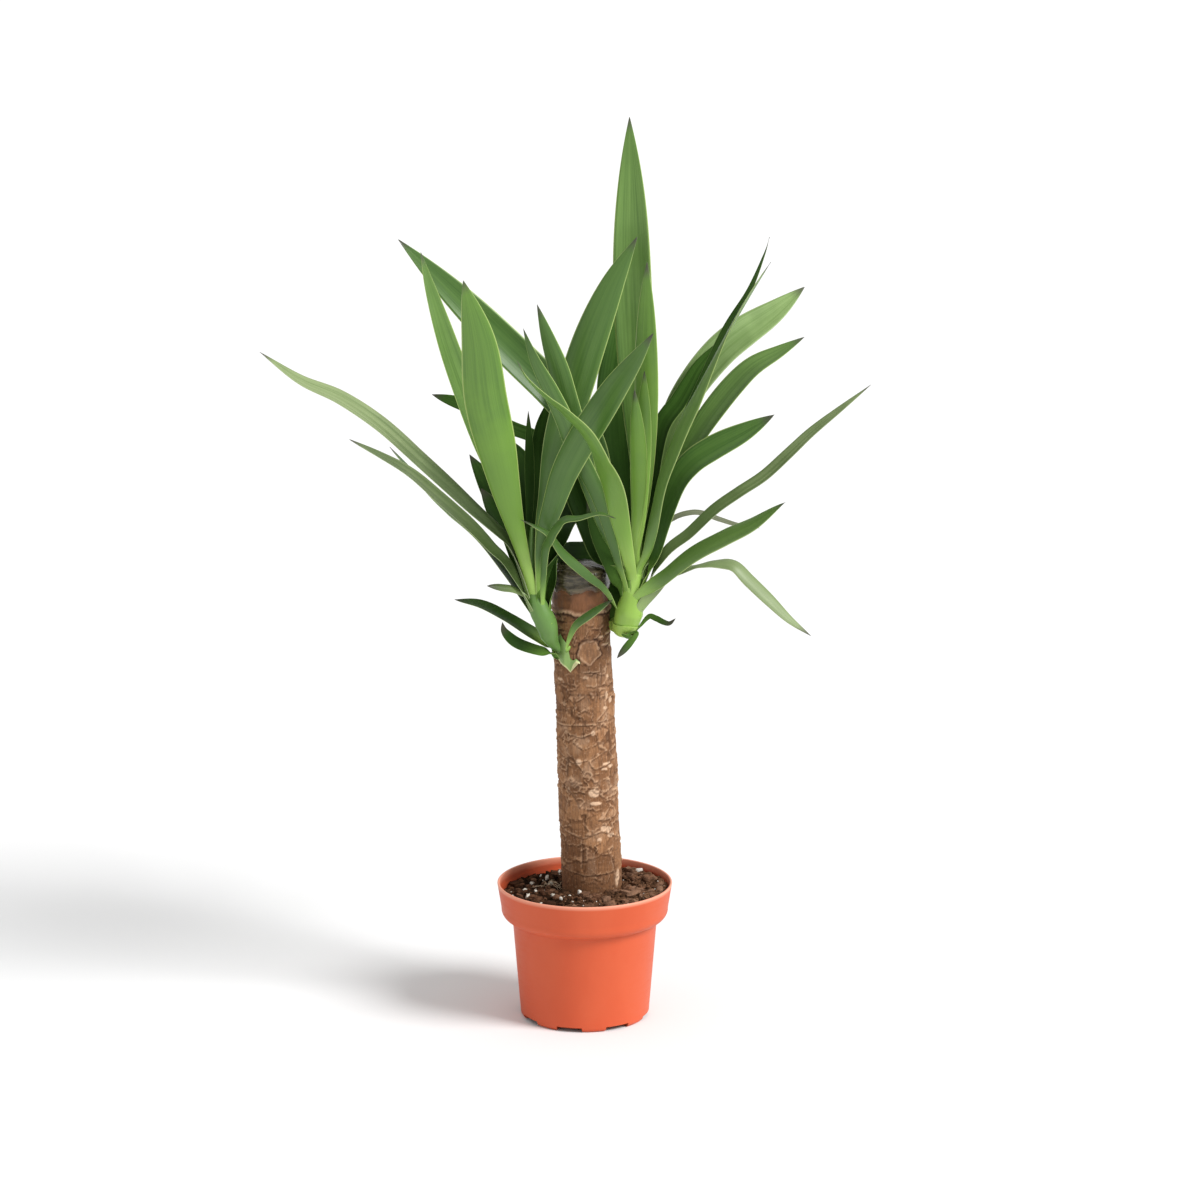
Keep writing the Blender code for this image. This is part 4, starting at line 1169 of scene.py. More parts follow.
@dataclass
class Flap:
    """A torn old leaf base that lies on the cane's front below the left shoot.

    Attributes:
        cane: The cane that it lies on.
        upper: Its upper edge, as x and height in millimetres.
        lower: Its lower edge in the same way.
        stand_off: How far its upper and lower edges stand off the bark, in metres.
        fold_x: Where the fold runs down it, in metres.
    """

    cane: "Cane"
    upper: tuple = ((-24.4, 311), (-23, 315), (-19.2, 321), (-17.2, 317), (-13.5, 313), (-12.6, 306),
                    (-11.2, 300), (-8.5, 300.5), (-6.8, 302), (-3.6, 299.3))
    lower: tuple = ((-24.4, 307.5), (-22.5, 302), (-19.2, 297), (-14.8, 294.2), (-11.2, 290.3), (-9.2, 296),
                    (-6.8, 299.5), (-3.6, 298))
    stand_off: tuple[float, float] = (1.4 * MM, 2.3 * MM)
    thickness: float = 0.6 * MM
    rows: int = 30
    columns: int = 90
    fold_x: float = -17 * MM

    def surface(self) -> Surface:
        """A shell between the two edges, on a circle round the cane's axis, with a fold down it."""
        upper, lower = (np.array(edge) * MM for edge in (self.upper, self.lower))
        x = np.linspace(upper[0, 0], upper[-1, 0], self.columns)[None, :]
        t = np.linspace(0.0, 1.0, self.rows)[:, None]
        foot = np.interp(x, *lower.T)
        height = foot + (np.interp(x, *upper.T) - foot) * t
        centre, radius, _ = self.cane.axis(height)
        fold = 0.7 * MM * bell(x - self.fold_x, 2.2 * MM) + 0.25 * MM * np.sin(x / (1.5 * MM))
        off = self.stand_off[1] + (self.stand_off[0] - self.stand_off[1]) * t + fold
        faces = []
        for lift in (off, off - self.thickness):
            depth = np.sqrt(np.maximum((radius + lift) ** 2 - (x - centre) ** 2, 0.0))
            faces.append(stacked(x, self.cane.depth - depth, height))
        across = np.linspace(-0.9, 0.9, self.columns)[None, :]
        edge = both_faces(height - foot, height - foot)
        return green_surface(both_faces(*faces), both_faces(across, across), edge)


@dataclass
class Foliage:
    """The two shoots: their stems, old leaf bases and leaves.

    Attributes:
        cane: The cane that they grow from.
        first_old_seed: Which small waves the first old blade has.
    """

    cane: "Cane"
    first_old_seed: int = 41

    def build(self) -> None:
        """Makes every piece of both shoots."""
        group = blade_pattern()
        finishes = {
            tone: finish.material(f"leaf_{tone.value}", group) for tone, finish in LEAF_FINISHES.items()
        }
        stems = {side: Stem(plan, SKINS[side], LEAF_FOOT[side]) for side, plan in STEMS.items()}

        def add_blade(name: str, plan: LeafPlan, side: str, seed: int, *nodes: str) -> None:
            """Adds the blade of a plan."""
            mesh = Blade(plan, stems[side], seed).surface().mesh(name)
            add_piece(name, mesh, finishes[plan.tone], "leaf", *nodes)

        for side, stem in stems.items():
            green = STEM_FINISHES[side].material(f"{side}_shoot_green", group)
            add_piece(f"{side}_shoot", stem.surface().mesh(f"{side}_shoot"), green, "shoot", f"{side}_stem")
            for number, plan in enumerate(LEAVES[side], 1):
                add_blade(f"{side}_blade_{number:02d}", plan, side, number, f"{side}_leaf_{number:02d}")
        for seed, (side, plan) in enumerate(OLD_BLADES.items(), self.first_old_seed):
            add_blade(f"{side}_old_blade", plan, side, seed)
        for side, remains in {"left": Flap(self.cane), "right": Sheath(stems["right"])}.items():
            name = f"{side}_old_base"
            finish = OLD_BASE_FINISHES[side].material(name, group)
            add_piece(name, remains.surface().mesh(name), finish, "shoot")


# The cane


@dataclass(frozen=True)
class Flake:
    """A pale patch of bark: its place and half-sizes as seen from the front, in millimetres."""

    x: float
    height: float
    wide: float
    tall: float
    strength: float = 1.0


@dataclass
class Cane:
    """The woody cane, which leans a little to the left.

    Attributes:
        chips_middle: The height round which most chips and curls lie, and how far they reach from it.
        flap: Height of the loose flap of bark at the left, and its half-height.
        relief_limits: The deepest and the highest that the relief goes.
        relief_average_reach: Points to each side of a place over which the relief is averaged.
        knot: The knot's x and height, and its half-width and half-height.
        flakes: The pale flakes that show at the front.
        cracks: Routes of the cracks at the front, as x and height in millimetres.
    """

    foot: float = 42.0 * MM
    top: float = 368.0 * MM
    soil_level: float = 105.0 * MM
    depth: float = 10.0 * MM
    x_at_soil: float = 6.0 * MM
    x_at_top: float = -4.0 * MM
    radius_at_soil: float = 24.4 * MM
    radius_at_top: float = 22.6 * MM
    rows: int = 380
    sides: int = 224
    scar_heights: tuple = (0.1322, 0.1628, 0.1919, 0.2185, 0.2484, 0.2710, 0.3005, 0.3240)
    peeled_from: float = 340.0 * MM
    chips_middle: tuple[float, float] = (210 * MM, 62 * MM)
    flap: tuple[float, float] = (346 * MM, 7 * MM)
    relief_limits: tuple[float, float] = (-1.9 * MM, 1.7 * MM)
    relief_average_reach: int = 4
    knot: tuple[float, float, float, float] = (3.8 * MM, 307.3 * MM, 9.0 * MM, 8.6 * MM)
    flakes: tuple = (
        Flake(7.4, 189.8, 4.2, 3.4), Flake(8.6, 181.2, 4.6, 1.5), Flake(-4.6, 216.0, 3.0, 3.4, 0.8),
        Flake(15.0, 160.0, 2.4, 2.2), Flake(18.4, 158.5, 2.0, 2.6), Flake(20.6, 153.6, 2.4, 1.6),
        Flake(0.6, 286.0, 2.2, 1.3, 0.6), Flake(13.0, 318.5, 2.4, 1.0), Flake(19.0, 320.5, 2.6, 1.0, 0.9),
        Flake(16.5, 311.5, 3.4, 1.3, 0.8), Flake(21.0, 309.5, 1.7, 1.6), Flake(17.8, 285.5, 1.0, 1.8, 0.9),
        Flake(17.5, 270.0, 1.0, 3.4), Flake(20.4, 265.0, 1.1, 2.8, 0.9), Flake(16.5, 259.6, 1.8, 1.2, 0.9),
        Flake(6.8, 240.0, 1.5, 1.9, 0.9), Flake(17.0, 213.5, 3.0, 1.1), Flake(20.4, 210.8, 1.8, 1.3, 0.9),
        Flake(15.5, 209.2, 2.4, 0.8, 0.8), Flake(-19.0, 283.0, 2.0, 1.2, 0.8),
        Flake(11.6, 151.0, 1.8, 1.4, 0.9), Flake(26.0, 116.0, 1.8, 9.0, 0.9),
    )
    cracks: tuple = (
        ((10, 288.3), (10, 264.7)), ((12.8, 296), (13.2, 278.4)), ((-0.4, 289.2), (11.9, 289.7)),
        ((-21.2, 244.3), (-7, 245.2), (10.8, 246.2)), ((-6, 265.9), (1.5, 270.6), (5.2, 263.8)),
        ((10.8, 250.1), (18.5, 257.9)), ((-15.4, 264.7), (-13, 255.1)),
        ((-14.5, 238.5), (-2.2, 235.5), (7.2, 239.3)), ((-22, 221.8), (-9.8, 213.9), (1.5, 216.8)),
        ((-24.7, 201), (-14.3, 193.1), (-7.8, 185.3), (-4, 177.5)),
        ((-21.8, 158.9), (-12.5, 154.9), (-1.2, 151.1), (13, 156.9), (17.7, 154.9), (27, 149.1)),
        ((-1.6, 150.1), (-2.1, 126.6)), ((-21.8, 123.7), (0.7, 119.8), (25.2, 121.7)),
        ((-13.4, 218.6), (-13.8, 203)), ((22.4, 134.5), (23.3, 124.7)),
    )

    def axis(self, height: Array) -> tuple[Array, Array, Array]:
        """The centre's x and the plain radius at a height, and how far up from the soil it is as a share."""
        share = np.clip((height - self.soil_level) / (self.top - self.soil_level), 0.0, None)
        x = self.x_at_soil + (self.x_at_top - self.x_at_soil) * share
        radius = self.radius_at_soil + (self.radius_at_top - self.radius_at_soil) * share
        return x, radius, share

    def build(self) -> None:
        """Makes the cane."""
        material = dressed("bark", bark_pattern(), Gloss(specular=0.3, relief=0.4 * MM), {
            "Plate": "plate", "Crack": "crack", "Peeled": "peeled", "Pale": "pale", "Dark": (66, 41, 26),
            "Brown": (125, 85, 54), "Tan": (170, 123, 84), "Red": (126, 82, 52), "Flake": (218, 182, 150),
        })
        add_piece("bark", Bark(self).surface().mesh("bark"), material, "bark", "cane")


class Bark:
    """The bark as a grid of places on the cane, with the features of its relief worked out one by one.

    Features take sizes in millimetres. Every one is a share from 0 to 1 at each place, or noise from -1 to 1.

    Attributes:
        cane: The cane that it covers.
        cos, sin: Direction of each place from the axis, to the right and to the back.
        tall: Height of each place.
        x: The axis's x at each height.
        radius: The plain radius there.
        share: How far up from the soil each height is.
        warp, fine_warp: Slow and quick noise that bends the outlines of the other features.
        front: 1 on the side that faces the front, fading to 0 beside it.
        world_x: The x of each place on the plain cane.
    """

    def __init__(self, cane: Cane) -> None:
        """Lays out the grid."""
        self.cane = cane
        height = np.linspace(cane.foot, cane.top, cane.rows)[:, None]
        self.x, self.radius, self.share = cane.axis(height)
        ones = np.ones((cane.rows, cane.sides))
        angle = circle(cane.sides)[None, :]
        self.cos, self.sin, self.tall = np.cos(angle) * ones, np.sin(angle) * ones, height * ones
        self.warp = self.waves(14, 14, 3, 4)
        self.fine_warp = self.waves(4, 4, 4)
        self.front = smoothstep(0.0, 0.35, -self.sin)
        self.world_x = self.x + self.radius * self.cos

    def pattern(self, around: float, up: float, warp: float = 0.0, fine_warp: float = 0.0) -> Array:
        """Pattern coordinates with features of this size round the cane and up it, bent by both warps."""
        scale = self.cane.radius_at_top / (around * MM)
        places = stacked(self.cos * scale, self.sin * scale, self.tall / (up * MM))
        if warp or fine_warp:
            places = places + (warp * self.warp + fine_warp * self.fine_warp)[..., None]
        return places

    def waves(self, around: float, up: float, seed: int, layers: int = 3, warp: float = 0.0) -> Array:
        """Layered noise with features of this size."""
        return layered_noise(self.pattern(around, up, warp), seed, layers)

    def patches(self, around: float, up: float, seed: int, shift: float = 0.0) -> Array:
        """Smooth noise from 0 to 1 with features of this size."""
        return value_noise(self.pattern(around, up) + shift, seed)

    @staticmethod
    def blurred(values: Array, reach: int) -> Array:
        """The values averaged over a square of the grid, round the cane and up it."""
        around = sum(np.roll(values, k, axis=1) for k in range(-reach, reach + 1)) / (2 * reach + 1)
        padded = np.pad(around, ((reach, reach), (0, 0)), mode="edge")
        return sum(padded[k:k + len(values)] for k in range(2 * reach + 1)) / (2 * reach + 1)

    @staticmethod
    def off_route(x: Array, height: Array, route: tuple) -> Array:
        """The distance of each place from the nearest part of a route given in millimetres."""
        route = np.array(route) * MM
        nearest = np.full(np.broadcast(x, height).shape, 1.0)
        for (ax, az), (bx, bz) in zip(route[:-1], route[1:]):
            along = (x - ax) * (bx - ax) + (height - az) * (bz - az)
            t = np.clip(along / ((bx - ax) ** 2 + (bz - az) ** 2), 0.0, 1.0)
            nearest = np.minimum(nearest, np.hypot(x - ax - t * (bx - ax), height - az - t * (bz - az)))
        return nearest

    def scars(self) -> tuple[Array, Array]:
        """The grooves of the leaf-scar rings and the lips below them, broken and wandering in height."""
        wander = 1.6 * MM * self.waves(20, 60, 51)
        scar, lip = np.zeros((2, *self.tall.shape))
        for index, level in enumerate(self.cane.scar_heights):
            strength = smoothstep(0.42, 0.75, self.patches(16, 400, 61, index * 7.3))
            away = self.tall - level - wander * (1.0 + 0.6 * math.sin(5.0 * index))
            scar = np.maximum(scar, strength * bell(away, 0.6 * MM))
            lip = np.maximum(lip, strength * bell(away + 1.5 * MM, 1.0 * MM))
        return scar, lip

    def flaked(self, splinters: Array) -> Array:
        """The pale flakes and splinters below the peeled band."""
        pale = np.zeros_like(self.tall)
        for flake in self.cane.flakes:
            across = (self.world_x - flake.x * MM) / (flake.wide * MM)
            up = (self.tall - flake.height * MM) / (flake.tall * MM)
            reach = np.hypot(across, up) + 0.35 * self.warp
            pale = np.maximum(pale, flake.strength * self.front * (1.0 - smoothstep(0.75, 1.1, reach)))
        return np.maximum(pale, 0.4 * splinters) * (self.tall < self.cane.peeled_from)

    def splits(self) -> tuple[Array, Array]:
        """The cracks at the front and the raised lips beside them."""
        x, height = self.world_x + 0.7 * MM * self.fine_warp, self.tall + 0.7 * MM * self.warp
        split, lip = np.zeros((2, *self.tall.shape))
        for route in self.cane.cracks:
            split = np.maximum(split, self.front * bell(self.off_route(x, height, route), 0.5 * MM))
            above = self.off_route(x + 0.6 * MM, height - 1.1 * MM, route)
            lip = np.maximum(lip, self.front * bell(above, 0.7 * MM))
        return split, lip

    def knot(self) -> tuple[Array, Array, Array]:
        """The knot's rim, its face and the groove round it: a warped pentagon with rounded corners."""
        knot_x, knot_height, wide, tall = self.cane.knot
        across, up = (self.world_x - knot_x) / wide, (self.tall - knot_height) / tall
        corners = np.cos(5.0 * (np.arctan2(up, across) + math.pi / 2))
        reach = np.hypot(across, up) * (1.0 - 0.1 * corners) + 0.45 * self.warp + 0.14 * self.fine_warp
        on_front = self.front > 0
        rim = on_front * bell(reach - 1.0, 0.1)
        face = on_front * (1.0 - smoothstep(0.85, 0.97, reach))
        moat = on_front * bell(reach - 1.2, 0.09) * smoothstep(-0.5, 0.4, self.warp)
        return rim, face, moat

    def surface(self) -> Surface:
        """The bark as rings whose radius is the plain one plus the relief of each of its features.

        Where the relief stands above its own average it is made paler, and below it, it is darker: a painted
        shade in its hollows.
        """
        # Plates, chips and splinters, most of them at mid height
        near, gap, number = cell_pattern(self.pattern(15, 10, 0.55, 0.12), 5)
        patchy = self.patches(9, 7, 21)
        crack = (1.0 - smoothstep(0.01, 0.09, gap)) * smoothstep(0.45, 0.75, patchy)
        chips = cell_pattern(self.pattern(5.5, 4.6, 0.6, 0.25), 9)
        splinters = cell_pattern(self.pattern(2.6, 3.4, 0.8), 13)
        middle = bell(self.tall - self.cane.chips_middle[0], self.cane.chips_middle[1])
        chippy = smoothstep(0.5, 0.8, self.patches(13, 10, 17) + 0.2 * middle)
        pale = self.flaked((splinters[2] > 0.9) * (1.0 - smoothstep(0.25, 0.42, splinters[0])) * chippy)

        # Fissures and fibres that run up the cane, and its slow swelling
        seam = np.abs(self.waves(7, 38, 27))
        fissure = (1.0 - smoothstep(0.012, 0.05, seam)) * smoothstep(0.5, 0.75, self.patches(14, 12, 29))
        fibre = self.waves(1.1, 16, 31)
        swell = self.waves(16, 22, 41)

        # Curled edges with a shadow under each, and the features that have places of their own
        curls = smoothstep(0.3, 0.6, self.patches(10, 8, 39) + 0.15 * middle)
        curl = (1.0 - smoothstep(0.0, 0.11, np.abs(self.waves(10.5, 7.5, 37, warp=0.5)))) * curls
        under_curl = np.roll(curl, -2, axis=0) * (1.0 - curl)
        scar, lip = self.scars()
        split, split_lip = self.splits()
        knot_rim, knot_face, knot_moat = self.knot()

        # The peeled band under the wax, with a curled lip at its lower edge
        over_edge = self.tall - (self.cane.peeled_from + 2.4 * MM * self.waves(11, 90, 71))
        peeled = smoothstep(-0.3 * MM, 0.5 * MM, over_edge)
        peeled_lip = bell(over_edge + 1.3 * MM, 1.5 * MM) * (0.6 + 0.8 * self.patches(6, 60, 73))

        rough = (1.0 - 0.85 * peeled) * smoothstep(0.0, 0.08, self.share) * (1.0 - 0.85 * knot_face)
        relief = 0.8 * (number - 0.5) - 0.6 * crack + 0.2 * near + 0.25 * fibre + 0.8 * swell - 0.6 * fissure
        relief += 0.5 * chippy * (chips[2] - 0.5) + 0.4 * lip - 0.7 * scar + 0.75 * curl - 0.5 * under_curl
        relief = rough * MM * (relief - 0.8 * split + 0.5 * split_lip) + 0.5 * MM * pale
        relief += MM * (0.7 * knot_rim - 0.7 * knot_moat) + MM * (1.3 * peeled_lip - 0.9 * peeled)
        relief += 0.35 * MM * peeled * self.waves(4, 12, 81, 4)
        flap = bell(self.tall - self.cane.flap[0], self.cane.flap[1]) * smoothstep(0.7, 0.95, -self.cos)
        relief = np.clip(relief + 1.6 * MM * flap, *self.cane.relief_limits)
        total = self.radius + relief
        points = stacked(self.x + total * self.cos, self.cane.depth + total * self.sin, self.tall)

        # The relief over its own average: raised places are made paler, and hollows get painted shade
        worn = relief - self.blurred(relief, self.cane.relief_average_reach)
        # Darker towards the bottom of the cane, with fewer pale raised places there
        low_on_cane = 1.0 - smoothstep(0.0, 0.2, self.share)
        shaded = smoothstep(0.5, 0.84, self.share)
        hollow = smoothstep(0.16 * MM, 0.7 * MM, -worn)
        # The dark mask: real cracks, scars, fissures and splits, with painted shade in hollows, under curls,
        # in the knot's groove, under the peeled lip and below the crown
        dark = np.maximum(np.maximum(crack * 0.4, scar * 0.5), np.maximum(fissure * 0.5, 0.5 * hollow))
        dark = np.maximum(dark, np.maximum(0.6 * under_curl, 0.5 * split))
        dark = dark * (1 - 0.6 * peeled) * (1 - 0.6 * knot_face)
        # Painted shade in the groove round the knot, and a painted shadow under the peeled lip
        dark = dark + 0.6 * knot_moat + 0.7 * bell(over_edge + 3.4 * MM, 1.0 * MM)
        dark = dark + 0.5 * peeled * smoothstep(-0.1, 0.5, self.waves(10, 7, 83))
        # Painted shade from the crown over the upper cane
        dark = dark + 0.3 * shaded * (1 - peeled)
        raised = smoothstep(0.15 * MM, 0.5 * MM, worn) * (1 - 0.5 * peeled)
        pale = pale + 0.06 * knot_face + 0.3 * knot_rim + 0.2 * raised * (1 - low_on_cane) + 0.42 * peeled_lip
        golden = smoothstep(0.55, 0.85, self.patches(8, 9, 43)) * (0.4 + 0.6 * middle)
        pale = pale + (0.3 * curl * patchy + 0.14 * split_lip + 0.24 * golden) * rough
        plate = 0.1 + number * 0.55 + 0.35 * raised - 0.5 * low_on_cane + 0.25 * fibre + 0.3 * self.warp
        # The stored crack mask carries the painted shade and shadows as well as the cracks
        values = {"plate": plate, "crack": dark, "peeled": peeled, "pale": pale}
        return Surface(points, {key: np.clip(value, 0, 1) for key, value in values.items()})


@dataclass
class WaxCap:
    """The sealing wax over the cane's sawn top, with a ragged lower edge. Lengths are in metres."""

    cane: Cane
    skirt: float = 12.0 * MM
    ragged: float = 3.0 * MM
    thickness: float = 1.1 * MM
    dome: float = 8.5 * MM
    gap: float = 0.3 * MM
    drips: float = 0.35 * MM
    sides: int = 192

    def surface(self) -> Surface:
        """Rings from inside the cap down its inner wall, round the foot, up outside and over the dome."""
        angle = circle(self.sides)
        cos, sin, full = np.cos(angle), np.sin(angle), np.ones(self.sides)
        around = stacked(cos * 3.2, sin * 3.2, 0.0)
        foot = self.cane.top - self.skirt - self.ragged * layered_noise(around, 91, 3)
        top = self.cane.top + self.gap
        radius = self.cane.radius_at_top
        wall = radius + self.gap
        points = [(radius * share * full, top * full) for share in (0.02, 0.6)]
        points += [(wall * full, top + (foot - top) * k) for k in (0.0, *np.linspace(0.1, 1.0, 6))]
        drip = self.drips * layered_noise(around * 1.7, 95, 3)
        for k in np.linspace(0.0, 1.0, 14):
            bulge = self.thickness * (0.75 + 0.5 * math.sin(math.pi * min(1.0, k * 1.6)) ** 2)
            points.append((wall + bulge + drip, foot + (self.cane.top - foot) * k))
        for turn in np.radians(np.linspace(8, 86, 16)):
            lump = 1.0 + 0.1 * layered_noise(around * 1.3 + turn, 97, 3) * math.sin(2 * turn)
            reach = (wall + self.thickness + drip) * math.cos(turn) * lump
            points.append((reach, self.cane.top + self.dome * math.sin(turn) ** 0.8 * full))
        reach, height = np.moveaxis(np.array(points), 1, 0)
        x, _, _ = self.cane.axis(height)
        ring = stacked(x + reach * cos, self.cane.depth + reach * sin, height)
        return Surface(ring, {"thin": bell(height - foot, 2.2 * MM)})

    def build(self) -> None:
        """Makes the cap."""
        gloss = Gloss(specular=0.4, relief=0.6 * MM, coat=0.25, coat_roughness=0.15)
        material = dressed("sealing_wax", wax_pattern(), gloss, {
            "Thin": "thin", "Deep": (54, 48, 32), "Milky": (118, 108, 82), "Foot": (104, 76, 54),
        })
        add_piece("sealing_wax", self.surface().mesh("sealing_wax"), material, "sealing_wax", "wax_cap")


# The pot and what fills it


@dataclass
class Pot:
    """The moulded nursery pot: a body with a wide band round its mouth and drain slots round its foot.

    Attributes:
        slot_size: How deep and wide a drain slot's cutter is, and how high it reaches above the base.
        slot_overrun: How far a cutter stands out of the wall and below the base.
        sharp_edge: Degrees of turn above which an edge stays sharp.
    """

    height: float = 112.0 * MM
    rim_radius: float = 71.0 * MM
    rim_foot_radius: float = 67.8 * MM
    rim_height: float = 22.0 * MM
    shoulder: float = 8.0 * MM
    body_radius: float = 58.8 * MM
    base_radius: float = 52.5 * MM
    rounding: float = 4.0 * MM
    wall: float = 1.8 * MM
    floor: float = 2.4 * MM
    lip: float = 0.8 * MM
    centre_hole: float = 0.02 * MM
    sides: int = 256
    slots: int = 8
    slot_size: tuple[float, float, float] = (12.0 * MM, 21.0 * MM, 4.0 * MM)
    slot_overrun: float = 2.0 * MM
    sharp_edge: float = 38.0
    first_slot: float = math.radians(-104.0)

    @property
    def rim_foot(self) -> float:
        """Height of the rim band's lower edge."""
        return self.height - self.rim_height

    @property
    def body_top(self) -> float:
        """Height at which the body meets the band's shoulder."""
        return self.rim_foot - self.shoulder

    def profile(self) -> Array:
        """The section as radius and height: out along the floor, up inside, over the lip, down outside."""
        rim, band, body, base = self.rim_radius, self.rim_foot_radius, self.body_radius, self.base_radius
        wall, lip, rounding, body_top = self.wall, self.lip, self.rounding, self.body_top
        lip_foot = self.height - lip
        quarter = np.radians(np.linspace(0.0, 90.0, 9))
        cos, sin = np.cos(quarter), np.sin(quarter)
        runs = (
            [(self.centre_hole, self.floor), (base - wall - 3 * MM, self.floor),
             (base - wall - 0.8 * MM, self.floor + 0.6 * MM)],
            np.linspace((base - wall, rounding), (body - wall, body_top), 8),
            np.linspace((band - wall, self.rim_foot), (rim - wall, lip_foot), 5),
            stacked(rim - wall / 2 - wall / 2 * cos, lip_foot + lip * sin)[1:],
            stacked(rim - lip + lip * sin, lip_foot + lip * cos)[1:],
            np.linspace((rim, lip_foot), (band, self.rim_foot + 1.5 * MM), 8)[1:],
            stacked(body + 0.5 * MM + (band - body - 0.5 * MM) * cos, self.rim_foot - self.shoulder * sin),
            [(body + 0.1 * MM, body_top - 0.25 * MM), (body - 0.1 * MM, body_top - 1.0 * MM)],
            np.linspace((body, body_top), (base, rounding + 0.5 * MM), 12)[1:],
            stacked(base - rounding + rounding * cos, rounding - rounding * sin),
            [(self.centre_hole, 0.0)],
        )
        return np.vstack(runs)

    def surface(self) -> Surface:
        """The section carried once round the axis."""
        radius, height = self.profile().T[..., None]
        angle = circle(self.sides)
        return Surface(stacked(radius * np.cos(angle), radius * np.sin(angle), height))

    def slot_boxes(self) -> list[bpy.types.Object]:
        """Boxes that cut the drain slots, each a cube's corners turned and moved into place."""
        corners = np.array(list(np.ndindex(2, 2, 2)), dtype=float) - 0.5
        faces = [(0, 1, 3, 2), (4, 6, 7, 5), (0, 4, 5, 1), (2, 3, 7, 6), (0, 2, 6, 4), (1, 5, 7, 3)]
        deep, wide, high = self.slot_size
        reach = self.base_radius + self.slot_overrun - deep / 2
        x, y, z = (corners * (deep, wide, high + self.slot_overrun)).T
        x, z = x + reach, z + (high - self.slot_overrun) / 2
        boxes = []
        for index in range(self.slots):
            angle = self.first_slot + math.tau * index / self.slots
            cos, sin = math.cos(angle), math.sin(angle)
            mesh = bpy.data.meshes.new("slot_box")
            mesh.from_pydata(np.column_stack((x * cos - y * sin, x * sin + y * cos, z)).tolist(), [], faces)
            boxes.append(linked("slot_box", mesh))
        return boxes

    def cut_mesh(self) -> Mesh:
        """The pot's mesh with its drain slots cut, how near the lip each point is, and how much painted shade
        and soil dusting each point gets.
        """
        body = linked("pot_body", self.surface().mesh("pot_body"))
        boxes = self.slot_boxes()
        for box in boxes:
            cut = body.modifiers.new("slot", "BOOLEAN")
            cut.operation = "DIFFERENCE"
            cut.solver = "EXACT"
            cut.object = box
        bpy.context.view_layer.update()
        mesh = bpy.data.meshes.new_from_object(body.evaluated_get(bpy.context.evaluated_depsgraph_get()))
        for extra in (body, *boxes):
            data = extra.data
            bpy.data.objects.remove(extra, do_unlink=True)
            bpy.data.meshes.remove(data)
        points, normals = np.empty((2, len(mesh.vertices) * 3))
        mesh.vertices.foreach_get("co", points)
        mesh.vertices.foreach_get("normal", normals)
        points, normals = points.reshape(-1, 3), normals.reshape(-1, 3)
        facing_in = np.sum(normals[:, :2] * points[:, :2], axis=1) < 0
        height = points[:, 2]
        # How near the lip each point is, for a pale line painted along it as a painted highlight
        store(mesh, "lip", smoothstep(self.height - 2.0 * MM, self.height - 1.0 * MM, height))
        # Painted shade on the inner wall below the lip, with a trace of soil dusting
        below_lip = 1.0 - smoothstep(-9 * MM, 0.0, height - self.height)
        store(mesh, "dust_and_shade", np.where(facing_in, 0.6, 0.0) * below_lip)
        mesh.shade_smooth()
        mesh.set_sharp_from_angle(angle=math.radians(self.sharp_edge))
        mesh.name = "nursery_pot"
        return mesh

    def build(self) -> None:
        """Makes the pot."""
        material = dressed("orange_plastic", moulded_pattern(), Gloss(specular=0.32, relief=0.04 * MM), {
            # The darker tint is painted shade inside the wall, with a trace of soil dusting
            "Body": (203, 85, 48), "Worn": (216, 104, 66), "Dust_And_Shade_Tint": (150, 70, 48), "Dusty": "dust_and_shade",
            # The pale lip line is a painted highlight
            "Edge": "lip", "Lip": (236, 156, 128), "Sheen": 0.46,
        })
        add_piece("nursery_pot", self.cut_mesh(), material, "pot_plastic", "pot")


@dataclass(frozen=True)
class GrainKind:
    """A kind of loose grain in the mix.

    Attributes:
        finish: Which of the mix's finishes it has.
        count: How many lie on the surface.
        smallest: The least half-size in metres.
        largest: The greatest half-size in metres.
        flatness: Half-height over half-width.
        boxy: Exponent of the rounding, 1 for an egg and near 0 for a block.
        rough: How uneven a grain is.
        seed: Which scatter is used.
        rise: How far above the mix it lies, in metres.
        spots: Places of the first grains in millimetres.
    """

    finish: str
    count: int
    smallest: float
    largest: float
    flatness: float
    boxy: float
    rough: float
    seed: int
    rise: float = 0.0
    spots: tuple = ()


# Shade, body and light of each finish, in display values
MIX_TINTS: dict[str, tuple[Shown, Shown, Shown]] = {
    "peat": ((36, 22, 12), (92, 62, 42), (146, 108, 82)),
    "bark_chips": ((66, 42, 28), (122, 86, 64), (166, 130, 106)),
    "perlite": ((206, 198, 184), (232, 226, 216), (250, 248, 242)),
    "root_fibres": ((150, 124, 98), (190, 164, 134), (226, 206, 180)),
}

PERLITE_SPOTS = ((-31, 33), (-24, 70), (-43, 22), (-46, -16), (-26, -21), (-4, -19), (54, 58), (20, 31),
                 (36, -5), (-36, 44), (-28, 20), (-40, -2), (-19, -35), (-12, -27), (-49, 6), (-21, 56))

GRAINS: dict[str, GrainKind] = {
    "peat_crumbs": GrainKind("peat", 1500, 0.5 * MM, 2.6 * MM, 0.75, 0.8, 0.24, 101),
    "bark_chips": GrainKind("bark_chips", 260, 1.2 * MM, 4.8 * MM, 0.55, 0.6, 0.24, 103),
    "perlite": GrainKind("perlite", len(PERLITE_SPOTS), 1.5 * MM, 2.8 * MM, 0.8, 0.75, 0.22, 107, 1.4 * MM,
                         PERLITE_SPOTS),
    "perlite_specks": GrainKind("perlite", 70, 0.5 * MM, 1.2 * MM, 0.8, 0.75, 0.16, 109, 0.9 * MM),
}


